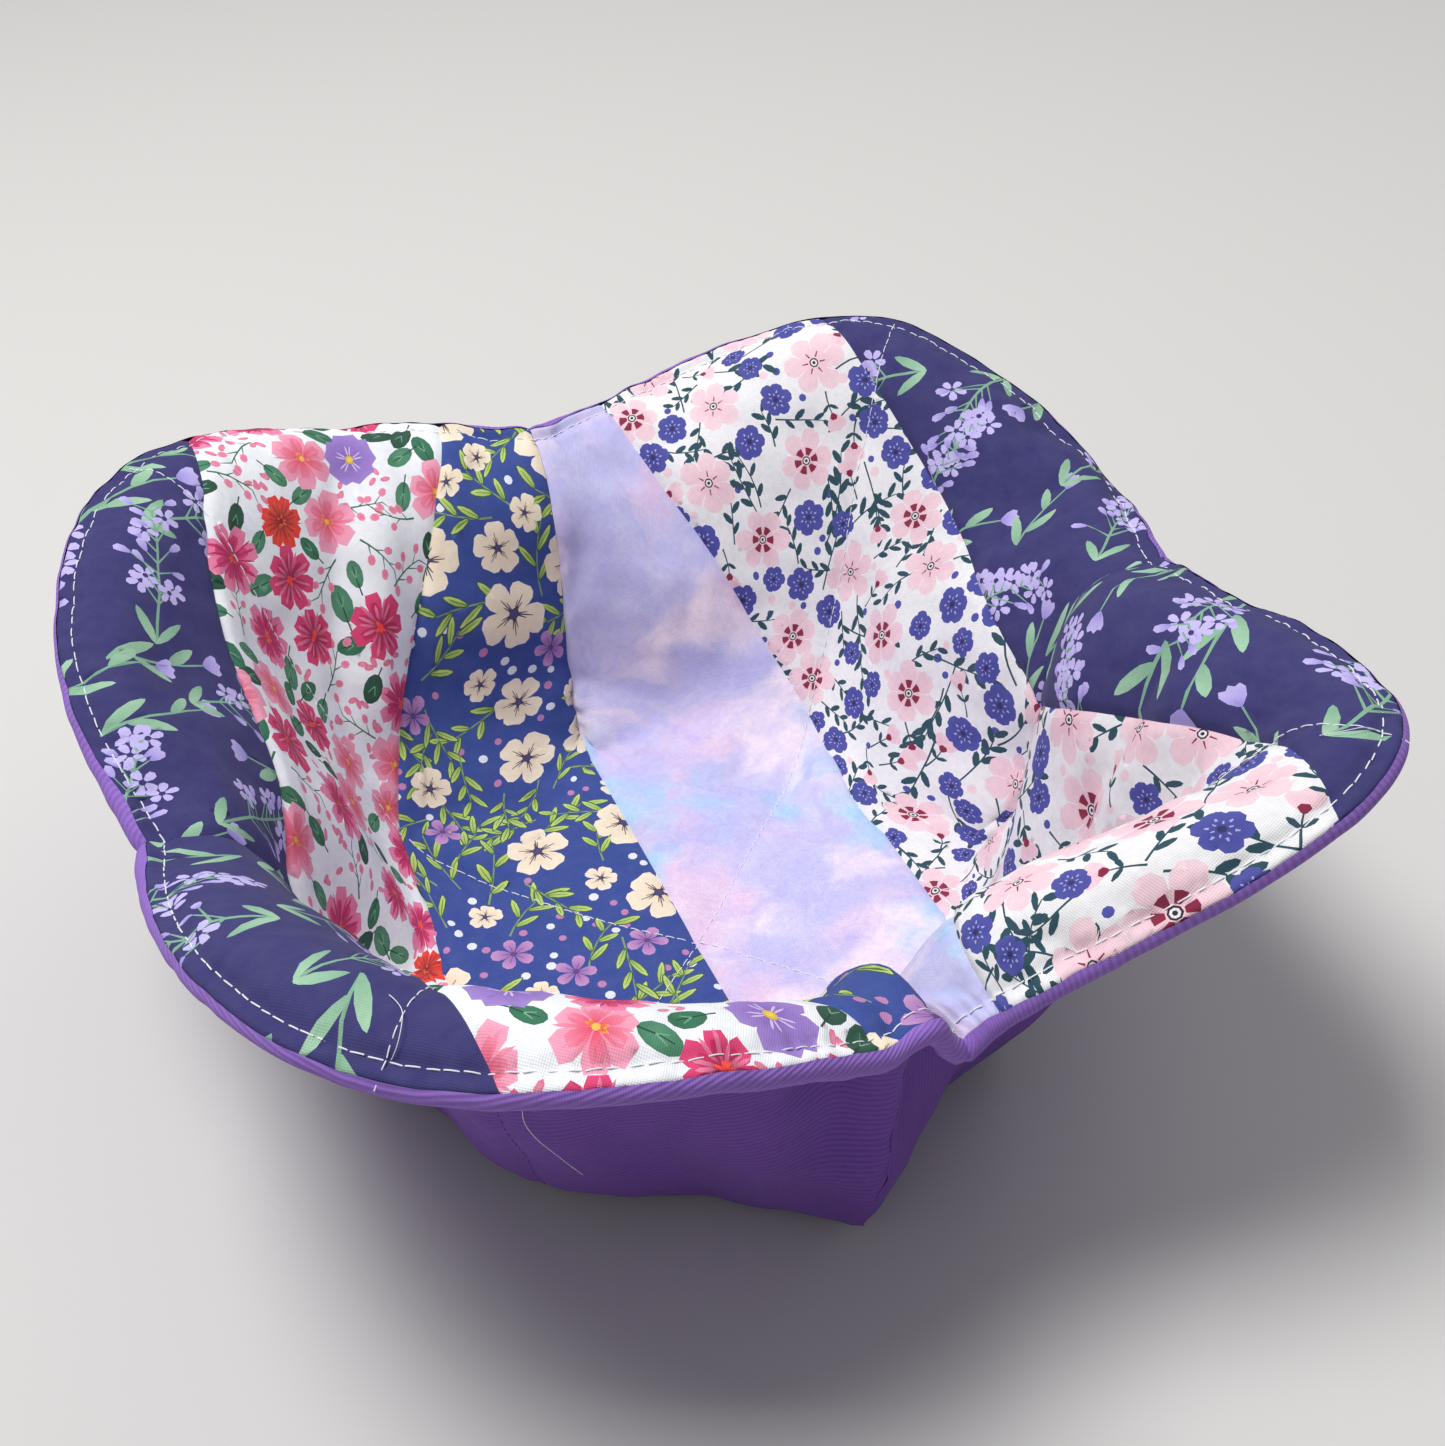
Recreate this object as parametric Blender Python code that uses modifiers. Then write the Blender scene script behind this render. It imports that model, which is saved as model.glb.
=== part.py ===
"""Quilted microwave bowl cozy: a patchwork lining and a plain cover, sewn round a layer of batting.

The three layers are cut as one square with round corners, a dart closes the middle of each side,
and the square turns up into a bowl with a flat base and four soft petals. Each layer is made as it
is sewn: cut flat, trimmed along its seams, then carried up into its place in the bowl.

Metres, +Z up. The origin is the middle of the base's underside and +Y runs along the strips.
"""

from collections import namedtuple
from math import cos, pi, radians, sin

import bmesh
import bpy
import numpy as np
from mathutils import Vector, kdtree
from mathutils.geometry import interpolate_bezier

# The flat square, measured from its middle to the line along which the layers are sewn together.
HALF_SQUARE = 0.121
CORNER_RADIUS = 0.070
DART_TIP = 0.054
DART_HALF_WIDTH = 0.025

# Widths of the lining's strips, out from the middle seam. The outermost strips take up the rest.
MIDDLE_STRIP = 0.043
SIDE_STRIP = 0.047

# Thicknesses through the wall, and the clearance between neighbouring layers and strips.
WALL = 0.004
CLOTH = 0.0006
CLEARANCE = 0.0003

# Where a point of the rim stands: the heading and the lean, in degrees, of the straight line up
# the wall from the base's edge, that line's length as a share of the cloth's, and the lean of the
# cloth at the rim itself.
RimPoint = namedtuple("RimPoint", "heading lean reach rim_lean")
RIM = {
    "right dart": RimPoint(5, 56, 0.92, 5),
    "back petal, right side": RimPoint(27, 38, 0.88, -20),
    "back petal, tip": RimPoint(47, 40, 0.97, 10),
    "back petal, left side": RimPoint(64, 39, 0.93, 0),
    "back dart": RimPoint(84, 57, 0.92, 15),
    "left petal, back side": RimPoint(108, 44, 0.92, 0),
    "left petal, tip": RimPoint(129, 46, 0.95, 5),
    "left petal, front side": RimPoint(150, 50, 0.90, 0),
    "left dart": RimPoint(175, 62, 0.88, 10),
    "front petal, left side": RimPoint(205, 55, 0.87, -5),
    "front petal, tip": RimPoint(229, 52, 0.90, -15),
    "front petal, right side": RimPoint(252, 57, 0.91, 5),
    "front dart": RimPoint(284, 65, 0.86, 15),
    "right petal, front side": RimPoint(288, 57, 0.81, -30),
    "right petal, tip": RimPoint(314, 50, 0.98, 5),
    "right petal, back side": RimPoint(345, 57, 0.84, -15),
}

# How far the wall keeps the direction of the base and, at its top, that of the rim: at a dart, at
# a petal's side, at its tip, at its other side and at the next dart.
BASE_CURVE = (0.025, 0.028, 0.042, 0.028, 0.025)
RIM_CURVE = (0.030, 0.036, 0.040, 0.036, 0.030)
# Share of a petal, next to each dart, in which the base's edge turns to face that dart.
DART_TURN = 0.25

# Fineness of the meshes.
COLUMNS = 12
ROWS = 7
RIM_STEPS = 4
WELD = 0.00001

STATIONS = 5
PETALS = 4
QUARTER_TURN = pi / 2

COLOURS = {
    "outer_cover": (0.165, 0.068, 0.365),
    "batting": (0.82, 0.81, 0.77),
    "lavender_strip_left": (0.060, 0.042, 0.190),
    "pink_floral_strip": (0.790, 0.700, 0.780),
    "blue_floral_strip": (0.045, 0.090, 0.310),
    "watercolour_strip": (0.560, 0.530, 0.850),
    "ditsy_floral_strip": (0.780, 0.740, 0.830),
    "lavender_strip_right": (0.060, 0.042, 0.190),
}


def clear_scene():
    for obj in list(bpy.data.objects):
        bpy.data.objects.remove(obj)


def through(values, share):
    """The smooth curve through a petal's evenly spaced stations, at a share of its length."""
    values = np.array(values, float)
    if values.ndim == 1:
        values = values[:, None]
    count = len(values)
    system = np.eye(count)
    right = np.zeros_like(values)
    for k in range(1, count - 1):
        system[k, k - 1 : k + 2] = (1, 4, 1)
        right[k] = 6 * (values[k - 1] - 2 * values[k] + values[k + 1])
    bend = np.linalg.solve(system, right)
    place = share * (count - 1)
    k = min(int(place), count - 2)
    after = place - k
    before = 1 - after
    return (
        before * values[k]
        + after * values[k + 1]
        + (before**3 - before) / 6 * bend[k]
        + (after**3 - after) / 6 * bend[k + 1]
    )


def turned(x, y, petal):
    """A point of the first petal's quarter, turned into another petal's."""
    angle = petal * QUARTER_TURN
    return Vector((x * cos(angle) - y * sin(angle), x * sin(angle) + y * cos(angle)))


def flat_edge(petal, share):
    """A point on the flat square's edge, at a share of the way from one dart to the next."""
    straight = HALF_SQUARE - CORNER_RADIUS - DART_HALF_WIDTH
    arc = CORNER_RADIUS * QUARTER_TURN
    along = share * (2 * straight + arc)
    centre = HALF_SQUARE - CORNER_RADIUS
    if along < straight:
        return turned(HALF_SQUARE, DART_HALF_WIDTH + along, petal)
    if along <= straight + arc:
        angle = (along - straight) / CORNER_RADIUS
        return turned(centre + CORNER_RADIUS * cos(angle), centre + CORNER_RADIUS * sin(angle), petal)
    return turned(centre - (along - straight - arc), HALF_SQUARE, petal)


def base_edge(petal, share):
    """A point on the base's edge, which runs straight from one dart's tip to the next."""
    return turned(DART_TIP * (1 - share), DART_TIP * share, petal)


def rim_stations(petal):
    """The petal's five rim points, and the cloth's lean at each."""
    names = list(RIM)
    places = []
    leans = []
    for k in range(STATIONS):
        share = k / (STATIONS - 1)
        point = RIM[names[(petal * (STATIONS - 1) + k) % len(names)]]
        foot = base_edge(petal, share)
        length = point.reach * (flat_edge(petal, share) - foot).length
        out = length * cos(radians(point.lean))
        heading = radians(point.heading)
        up = length * sin(radians(point.lean))
        places.append((foot.x + out * cos(heading), foot.y + out * sin(heading), WALL / 2 + up))
        leans.append(radians(point.rim_lean))
    return places, leans


def facing(petal, share):
    """The level direction in which the wall leaves the base."""
    nearest = min(share, 1 - share) / DART_TURN
    blend = min(nearest, 1)
    blend = blend * blend * (3 - 2 * blend)
    dart = turned(1, 0, petal) if share < 0.5 else turned(0, 1, petal)
    middle = turned(1, 1, petal).normalized()
    return (dart * (1 - blend) + middle * blend).normalized()


def wall_curve(petal, share, stations):
    """The wall's points from the base's edge up to the rim, one for each row."""
    places, leans = stations
    foot = base_edge(petal, share)
    foot = Vector((foot.x, foot.y, WALL / 2))
    rim = Vector(through(places, share))
    lean = float(through(leans, share)[0])
    outward = rim.xy.normalized()
    rim_way = Vector((outward.x * cos(lean), outward.y * cos(lean), sin(lean)))
    base_way = facing(petal, share).to_3d()
    low = foot + base_way * float(through(BASE_CURVE, share)[0])
    high = rim - rim_way * float(through(RIM_CURVE, share)[0])
    return interpolate_bezier(foot, low, high, rim, ROWS + 1)


def add_panel(bm, rows, columns, place):
    """Adds a grid whose points lie flat, each with its place in the bowl in a layer."""
    formed = bm.verts.layers.float_vector["formed"]
    made = bmesh.ops.create_grid(bm, x_segments=rows, y_segments=columns, size=0.5)
    for vert in made["verts"]:
        row = round((vert.co.x + 0.5) * rows)
        column = round((vert.co.y + 0.5) * columns)
        flat, vert[formed] = place(row, column)
        vert.co = flat.to_3d()


def flat_sheet(rim_inset):
    """The whole square as it is cut, its darts still open."""
    bm = bmesh.new()
    bm.verts.layers.float_vector.new("formed")
    bm.verts.layers.float_vector.new("away")
    for petal in range(PETALS):
        stations = rim_stations(petal)
        curves = [wall_curve(petal, k / COLUMNS, stations) for k in range(COLUMNS + 1)]

        def wall_point(row, column):
            share = column / COLUMNS
            foot = base_edge(petal, share)
            edge = flat_edge(petal, share)
            curve = curves[column]
            if row < ROWS:
                return foot.lerp(edge, row / ROWS), curve[row]
            kept = 1 - rim_inset / (curve[row] - curve[row - 1]).length
            flat = foot.lerp(edge, (row - 1 + kept) / ROWS)
            return flat, curve[row - 1].lerp(curve[row], kept)

        add_panel(bm, ROWS, COLUMNS, wall_point)

    def base_point(row, column):
        corner = turned(DART_TIP, 0, 0)
        along = (base_edge(0, 1) - corner) * column / COLUMNS
        across = (base_edge(3, 0) - corner) * row / COLUMNS
        flat = corner + along + across
        return flat, Vector((flat.x, flat.y, WALL / 2))

    add_panel(bm, COLUMNS, COLUMNS, base_point)
    bmesh.ops.remove_doubles(bm, verts=bm.verts, dist=WELD)
    bmesh.ops.recalc_face_normals(bm, faces=bm.faces)
    if sum(face.normal.z for face in bm.faces) < 0:
        bmesh.ops.reverse_faces(bm, faces=bm.faces)
    # The same split of each grid face in every layer keeps the layers parallel.
    bmesh.ops.triangulate(bm, faces=bm.faces, quad_method="FIXED")
    note_directions(bm)
    return bm


def close_up(bm):
    """Carries the flat sheet up into the bowl and closes its darts."""
    formed = bm.verts.layers.float_vector["formed"]
    for vert in bm.verts:
        vert.co = vert[formed]
    bmesh.ops.remove_doubles(bm, verts=bm.verts, dist=WELD)
    bm.normal_update()


def note_directions(bm):
    """Notes at each point the way through the wall towards the lining, as the sewn bowl has it."""
    whole = bm.copy()
    close_up(whole)
    whole.verts.ensure_lookup_table()
    tree = kdtree.KDTree(len(whole.verts))
    for vert in whole.verts:
        tree.insert(vert.co, vert.index)
    tree.balance()
    formed = bm.verts.layers.float_vector["formed"]
    away = bm.verts.layers.float_vector["away"]
    for vert in bm.verts:
        nearest = whole.verts[tree.find(vert[formed])[1]]
        vert[away] = nearest.normal * nearest.calc_shell_factor()
    whole.free()


def move_through_wall(bm, distance):
    formed = bm.verts.layers.float_vector["formed"]
    away = bm.verts.layers.float_vector["away"]
    for vert in bm.verts:
        vert[formed] = vert[formed] + vert[away] * distance


def trim(bm, point, way):
    """Cuts the flat sheet along the line through a point and drops what lies on the way's side."""
    geometry = bm.verts[:] + bm.edges[:] + bm.faces[:]
    bmesh.ops.bisect_plane(
        bm, geom=geometry, dist=WELD / 10, plane_co=point, plane_no=way, clear_outer=True
    )


def add_piece(name, bm, thickness, collection):
    """Makes the sheet an object with its thickness and its material."""
    mesh = bpy.data.meshes.new(name)
    bm.to_mesh(mesh)
    bm.free()
    mesh.shade_smooth()
    obj = bpy.data.objects.new(name, mesh)
    collection.objects.link(obj)
    solidify = obj.modifiers.new("thickness", "SOLIDIFY")
    solidify.thickness = thickness
    solidify.offset = 0
    material = bpy.data.materials.new(name)
    material.use_nodes = True
    shader = material.node_tree.nodes["Principled BSDF"]
    shader.inputs["Base Color"].default_value = (*COLOURS[name], 1)
    shader.inputs["Roughness"].default_value = 0.9
    shader.inputs["Metallic"].default_value = 0
    mesh.materials.append(material)


def wrap_rim(bm, radius):
    """Rolls the cover's edge over the rim in a half round, up to the lining's side."""
    away = bm.verts.layers.float_vector["away"]
    border = [edge for edge in bm.edges if edge.is_boundary]
    rolls = {}
    for vert in {vert for edge in border for vert in edge.verts}:
        inner = next(edge.other_vert(vert) for edge in vert.link_edges if not edge.is_boundary)
        through_wall = vert[away].normalized()
        outward = vert.co - inner.co
        outward -= through_wall * outward.dot(through_wall)
        rolls[vert] = (vert.co + vert[away] * radius, outward.normalized(), through_wall)
    for step in range(RIM_STEPS):
        angle = pi * (step + 1) / RIM_STEPS - QUARTER_TURN
        made = bmesh.ops.extrude_edge_only(bm, edges=border)["geom"]
        border = [item for item in made if isinstance(item, bmesh.types.BMEdge) and item.is_boundary]
        moved = {}
        for vert in [item for item in made if isinstance(item, bmesh.types.BMVert)]:
            before = next(edge.other_vert(vert) for edge in vert.link_edges if edge.other_vert(vert) in rolls)
            centre, outward, through_wall = rolls[before]
            vert.co = centre + outward * (radius * cos(angle)) + through_wall * (radius * sin(angle))
            moved[vert] = rolls[before]
        rolls = moved
    bm.normal_update()


def make_cover(collection):
    to_cover = WALL / 2 - CLOTH / 2
    bm = flat_sheet(rim_inset=0)
    move_through_wall(bm, -to_cover)
    close_up(bm)
    wrap_rim(bm, to_cover)
    add_piece("outer_cover", bm, CLOTH, collection)


def make_batting(collection):
    bm = flat_sheet(rim_inset=CLEARANCE)
    close_up(bm)
    add_piece("batting", bm, WALL - 2 * (CLOTH + CLEARANCE), collection)


def make_strip(name, left, right, collection):
    """One strip of the lining, between two distances from the middle seam or out to the rim."""
    bm = flat_sheet(rim_inset=CLEARANCE)
    move_through_wall(bm, WALL / 2 - CLOTH / 2)
    if left is not None:
        trim(bm, (left + CLEARANCE / 2, 0, 0), (-1, 0, 0))
    if right is not None:
        trim(bm, (right - CLEARANCE / 2, 0, 0), (1, 0, 0))
    # Along a dart the wall folds and brings the faces together, so each side keeps the clearance.
    if 0 in (left, right):
        side = 1 if left == 0 else -1
        for end in (-1, 1):
            leg = Vector((side * DART_HALF_WIDTH, end * (HALF_SQUARE - DART_TIP), 0)).normalized()
            to_dart = Vector((-side * leg.y * end, side * leg.x * end, 0))
            trim(bm, Vector((0, end * DART_TIP, 0)) - to_dart * CLEARANCE, to_dart)
    close_up(bm)
    add_piece(name, bm, CLOTH, collection)


def make_lining(collection):
    middle = MIDDLE_STRIP
    side = MIDDLE_STRIP + SIDE_STRIP
    make_strip("lavender_strip_left", None, -side, collection)
    make_strip("pink_floral_strip", -side, -middle, collection)
    make_strip("blue_floral_strip", -middle, 0, collection)
    make_strip("watercolour_strip", 0, middle, collection)
    make_strip("ditsy_floral_strip", middle, side, collection)
    make_strip("lavender_strip_right", side, None, collection)


clear_scene()
cozy = bpy.data.collections.new("microwave_bowl_cozy")
bpy.context.scene.collection.children.link(cozy)
make_cover(cozy)
make_batting(cozy)
make_lining(cozy)
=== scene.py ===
"""Microwave bowl cozy, dressed: the patchwork lining, the purple cover, the padding and the thread.

The cloth is drawn on the flat square that the cozy is cut from, in metres with +y along the strips,
and form() carries every flat point up into the bowl. Prints, seams and stitches are all placed flat.
"""

import math
import random

import bpy
import numpy as np
from mathutils import Matrix, Vector
from mathutils.geometry import delaunay_2d_cdt


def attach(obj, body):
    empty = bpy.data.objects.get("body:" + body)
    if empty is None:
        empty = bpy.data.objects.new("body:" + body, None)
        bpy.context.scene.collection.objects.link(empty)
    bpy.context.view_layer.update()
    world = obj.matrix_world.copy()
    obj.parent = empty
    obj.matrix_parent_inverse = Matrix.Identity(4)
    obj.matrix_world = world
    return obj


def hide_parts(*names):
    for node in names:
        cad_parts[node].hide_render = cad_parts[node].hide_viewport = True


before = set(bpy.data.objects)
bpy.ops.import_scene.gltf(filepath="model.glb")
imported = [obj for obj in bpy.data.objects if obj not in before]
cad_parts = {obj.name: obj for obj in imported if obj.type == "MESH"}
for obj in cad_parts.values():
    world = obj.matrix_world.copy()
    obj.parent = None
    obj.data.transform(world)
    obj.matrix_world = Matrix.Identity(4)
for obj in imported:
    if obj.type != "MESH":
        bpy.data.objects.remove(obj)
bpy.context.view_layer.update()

METRE = 0.001
# The flat square, as the part's source has it: measured from its middle to the sewing line.
HALF_SQUARE = 0.121
CORNER_RADIUS = 0.070
DART_TIP = 0.054
DART_HALF_WIDTH = 0.025
MIDDLE_STRIP = 0.043
SIDE_STRIP = 0.047
SEAMS = (-MIDDLE_STRIP - SIDE_STRIP, -MIDDLE_STRIP, 0, MIDDLE_STRIP, MIDDLE_STRIP + SIDE_STRIP)
WALL = 0.004

# Where the rim stands, from the right dart round to the petal before it: heading and lean of the
# line up the wall in degrees, its length as a share of the cloth's, and the cloth's lean at the rim.
RIM = np.array(
    (
        ((5, 56, 0.92, 5), (27, 38, 0.88, -20), (47, 40, 0.97, 10), (64, 39, 0.93, 0)),
        ((84, 57, 0.92, 15), (108, 44, 0.92, 0), (129, 46, 0.95, 5), (150, 50, 0.90, 0)),
        ((175, 62, 0.88, 10), (205, 55, 0.87, -5), (229, 52, 0.90, -15), (252, 57, 0.91, 5)),
        ((284, 65, 0.86, 15), (288, 57, 0.81, -30), (314, 50, 0.98, 5), (345, 57, 0.84, -15)),
    )
).reshape(-1, 4)
BASE_CURVE = (0.025, 0.028, 0.042, 0.028, 0.025)
RIM_CURVE = (0.030, 0.036, 0.040, 0.036, 0.030)
DART_TURN = 0.25
STATIONS = 5
PETALS = 4
# Fineness of the tables that the wall is read from, how far a dart's crease softens, and how far
# its corner may stretch the way through the wall.
ACROSS = 128
UP = 72
DART_SOFTNESS = 0.005
LEAST_CORNER = 0.6
HALVINGS = 24

# The cloth simulation that settles the walls: how much wider the cloth is, and how far it may move.
SOLVER_SCALE = 10
SOLVER_FRAMES = 32
SOLVER_SEED = 4
SOLVER_NOISE = 0.0005
EXTRA_CLOTH = 0.016
MOST_SHIFT = 0.0035
SMOOTHINGS = 3

# Past the sewing line the lining rolls over by a quarter of a right angle, and the cover meets it.
FACE = WALL / 2
LINING_ROLL = FACE * math.radians(22)
COVER_ROLL = FACE * math.radians(166)
# How far the lining's edge tucks under the cover's, and the painted light on the rim's roll: how strongly it
# pales the purple and over how wide a band.
LINING_TUCK = 0.0003
RIM_PAINTED_LIGHT = 0.75
RIM_LIGHT_BAND = 0.0030
# The grooves that stitches and seams pull into the pad, with their half widths.
TOPSTITCH_INSET = 0.0017
TOPSTITCH_GROOVE, TOPSTITCH_WIDTH = 0.0007, 0.0011
QUILTING_GROOVE, QUILTING_WIDTH = 0.0005, 0.0019
SEAM_GROOVE, SEAM_WIDTH = 0.0005, 0.0007
DART_GROOVE, DART_WIDTH = 0.0005, 0.0010
DEEPEST_GROOVE = 0.0011
# The puff between quilting lines, the seam allowances' ridges and the topstitching's small gathers.
PUFF, PUFF_REACH = 0.0004, 0.010
ALLOWANCE, ALLOWANCE_RIDGE, ALLOWANCE_EDGE = 0.006, 0.0003, 0.0012
PUCKER, PUCKER_LENGTH, PUCKER_WIDTH = 0.00016, 0.0036, 0.0026

# The cloth's unevenness as waves: height, shortest and longest, their number and seed.
WAVES = ((0.00045, 0.018, 0.060, 18, 5), (0.00014, 0.006, 0.016, 24, 6))
# Puckers that spread from each dart's tip.
FAN_HEIGHT, FAN_RAYS, FAN_MIDDLE, FAN_WIDTH = 0.00035, 7, 0.010, 0.007
# Folds of the whole wall on the flat cloth: from, to, half width and height; a valley is a crease.
CREASE_ROUND = 0.0006
FOLDS = (
    ((0.098, -0.066), (0.062, -0.042), 0.0034, -0.0026),
    ((0.094, -0.084), (0.066, -0.060), 0.0040, -0.0026),
    ((0.098, -0.074), (0.066, -0.050), 0.0046, 0.0020),
    ((0.090, -0.099), (0.056, -0.103), 0.0036, -0.0014),
    ((0.088, 0.030), (0.062, 0.012), 0.0050, 0.0014),
    ((-0.055, 0.098), (-0.048, 0.066), 0.0055, 0.0022),
    ((-0.044, 0.096), (-0.040, 0.062), 0.0036, -0.0020),
    ((-0.064, 0.100), (-0.056, 0.060), 0.0045, -0.0014),
    ((-0.030, -0.108), (-0.012, -0.072), 0.0070, 0.0030),
    ((-0.050, -0.100), (-0.030, -0.070), 0.0060, -0.0016),
    ((0.034, 0.100), (0.020, 0.066), 0.0070, 0.0012),
    ((-0.086, -0.030), (-0.062, -0.012), 0.0060, 0.0016),
    ((-0.034, -0.124), (-0.026, -0.092), 0.0050, 0.0036),
)


def through(values, shares):
    """The smooth curve through evenly spaced stations, at shares of its length."""
    values = np.array(values, float).reshape(len(values), -1)
    count = len(values)
    system = np.eye(count)
    right = np.zeros_like(values)
    for k in range(1, count - 1):
        system[k, k - 1 : k + 2] = (1, 4, 1)
        right[k] = 6 * (values[k - 1] - 2 * values[k] + values[k + 1])
    bend = np.linalg.solve(system, right)
    place = np.asarray(shares) * (count - 1)
    k = np.minimum(place.astype(int), count - 2)
    after = (place - k)[:, None]
    before = 1 - after
    return (
        before * values[k]
        + after * values[k + 1]
        + (before**3 - before) / 6 * bend[k]
        + (after**3 - after) / 6 * bend[k + 1]
    )


def turn(points, petal):
    """Points of the first petal's quarter, turned into another petal's."""
    x, y = points[..., 0], points[..., 1]
    c, s = ((1, 0), (0, 1), (-1, 0), (0, -1))[petal]
    return np.stack([x * c - y * s, x * s + y * c], -1)


def flat_edge(share):
    """Points on the first quarter's sewing line, at shares of the way from dart to dart."""
    share = np.asarray(share, float)
    straight = HALF_SQUARE - CORNER_RADIUS - DART_HALF_WIDTH
    arc = CORNER_RADIUS * math.pi / 2
    along = share * (2 * straight + arc)
    centre = HALF_SQUARE - CORNER_RADIUS
    angle = np.clip((along - straight) / CORNER_RADIUS, 0, math.pi / 2)
    x = centre + CORNER_RADIUS * np.cos(angle) - np.maximum(along - straight - arc, 0)
    y = centre + CORNER_RADIUS * np.sin(angle) - np.maximum(straight - along, 0)
    return np.stack([x, y], -1)


def base_edge(share):
    """Points on the first quarter's side of the base."""
    share = np.asarray(share, float)
    return np.stack([DART_TIP * (1 - share), DART_TIP * share], -1)


def unit(vectors):
    return vectors / np.maximum(np.linalg.norm(vectors, axis=-1, keepdims=True), 1e-12)


def beside(share, petal, past):
    """Points beside a petal's sewing line, some way past it, at shares of the way from dart to dart."""
    foot, edge = turn(base_edge(share), petal), turn(flat_edge(share), petal)
    return edge + unit(edge - foot) * past


def new_object(name, data):
    made = bpy.data.objects.new(name, data)
    bpy.context.scene.collection.objects.link(made)
    return made


def smooth(value):
    """A soft step from 0 to 1."""
    value = np.clip(value, 0, 1)
    return value * value * (3 - 2 * value)


def bell(distance, half_width):
    return np.exp(-((distance / half_width) ** 2))


def petal_wall(petal):
    """The middle of the petal's wall, as a grid from dart to dart and from base to rim."""
    shares = np.linspace(0, 1, STATIONS)
    feet, edges = turn(base_edge(shares), petal), turn(flat_edge(shares), petal)
    lengths = np.linalg.norm(edges - feet, axis=1)
    points = RIM[(petal * (STATIONS - 1) + np.arange(STATIONS)) % len(RIM)]
    heading, lean, rim_lean = np.radians(points[:, 0]), np.radians(points[:, 1]), np.radians(points[:, 3])
    reach = points[:, 2] * lengths
    east = feet[:, 0] + reach * np.cos(lean) * np.cos(heading)
    north = feet[:, 1] + reach * np.cos(lean) * np.sin(heading)
    stations = np.stack([east, north, WALL / 2 + reach * np.sin(lean)], -1)
    share = np.linspace(0, 1, ACROSS + 1)
    foot = np.pad(turn(base_edge(share), petal), ((0, 0), (0, 1)), constant_values=WALL / 2)
    rim = through(stations, share)
    tilt = through(rim_lean, share)
    outward = unit(rim[:, :2])
    rim_way = np.concatenate([outward * np.cos(tilt), np.sin(tilt)], 1)
    blend = smooth(np.minimum(share, 1 - share) / DART_TURN)[:, None]
    dart = turn(np.where(share[:, None] < 0.5, (1.0, 0.0), (0.0, 1.0)), petal)
    middle = turn(unit(np.array([[1.0, 1.0]])), petal)
    base_way = np.pad(unit(dart * (1 - blend) + middle * blend), ((0, 0), (0, 1)))
    low = foot + base_way * through(BASE_CURVE, share)
    high = rim - rim_way * through(RIM_CURVE, share)
    up = np.linspace(0, 1, UP + 1)[None, :, None]
    down = 1 - up
    foot, low, high, rim = (p[:, None] for p in (foot, low, high, rim))
    return foot * down**3 + 3 * low * down**2 * up + 3 * high * down * up**2 + rim * up**3


def settle(middle):
    """Lets the cloth, cut a little wider than its place in the bowl, settle into folds as a simulation.

    The solver works on every second point, at ten times the size, with each petal's borders held.
    """
    picked = middle[:, ::2, ::2]
    start = picked.reshape(-1, 3) * SOLVER_SCALE
    start += np.random.default_rng(SOLVER_SEED).normal(size=start.shape) * SOLVER_NOISE
    index = np.arange(len(start)).reshape(picked.shape[:3])
    faces = np.stack([index[:, :-1, :-1], index[:, 1:, :-1], index[:, 1:, 1:], index[:, :-1, 1:]], -1)
    mesh = bpy.data.meshes.new("walls")
    mesh.from_pydata(start.tolist(), [], faces.reshape(-1, 4).tolist())
    walls = new_object("walls", mesh)
    scene = bpy.context.scene
    held = np.zeros(index.shape, bool)
    held[:, [0, -1]] = held[:, :, [0, -1]] = True
    walls.vertex_groups.new(name="held").add(index[held].tolist(), 1.0, "REPLACE")
    modifier = walls.modifiers.new("cloth", "CLOTH")
    settings = modifier.settings
    settings.quality = 6
    settings.mass = 0.3
    settings.vertex_group_mass = "held"
    settings.shrink_min = -EXTRA_CLOTH
    settings.tension_stiffness = settings.compression_stiffness = 12
    settings.shear_stiffness = 4
    settings.bending_stiffness = 8
    settings.air_damping = 4
    settings.effector_weights.gravity = 0
    modifier.point_cache.frame_start, modifier.point_cache.frame_end = 1, SOLVER_FRAMES
    for number in range(1, SOLVER_FRAMES + 1):
        scene.frame_set(number)
    settled = walls.evaluated_get(bpy.context.evaluated_depsgraph_get()).data
    places = np.empty(start.size)
    settled.vertices.foreach_get("co", places)
    scene.frame_set(1)
    bpy.data.objects.remove(walls)
    moved = places.reshape(picked.shape) / SOLVER_SCALE - picked
    distance = np.linalg.norm(moved, axis=-1, keepdims=True)
    moved *= MOST_SHIFT * np.tanh(distance / MOST_SHIFT) / np.maximum(distance, 1e-9)
    fine = np.zeros_like(middle)
    fine[:, ::2, ::2] = moved
    fine[:, 1::2, ::2] = (moved[:, :-1] + moved[:, 1:]) / 2
    fine[:, :, 1::2] = (fine[:, :, :-2:2] + fine[:, :, 2::2]) / 2
    for _ in range(SMOOTHINGS):
        inner = 4 * fine[:, 1:-1, 1:-1] + fine[:, :-2, 1:-1] + fine[:, 2:, 1:-1]
        fine[:, 1:-1, 1:-1] = (inner + fine[:, 1:-1, :-2] + fine[:, 1:-1, 2:]) / 8
    return middle + fine


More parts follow.
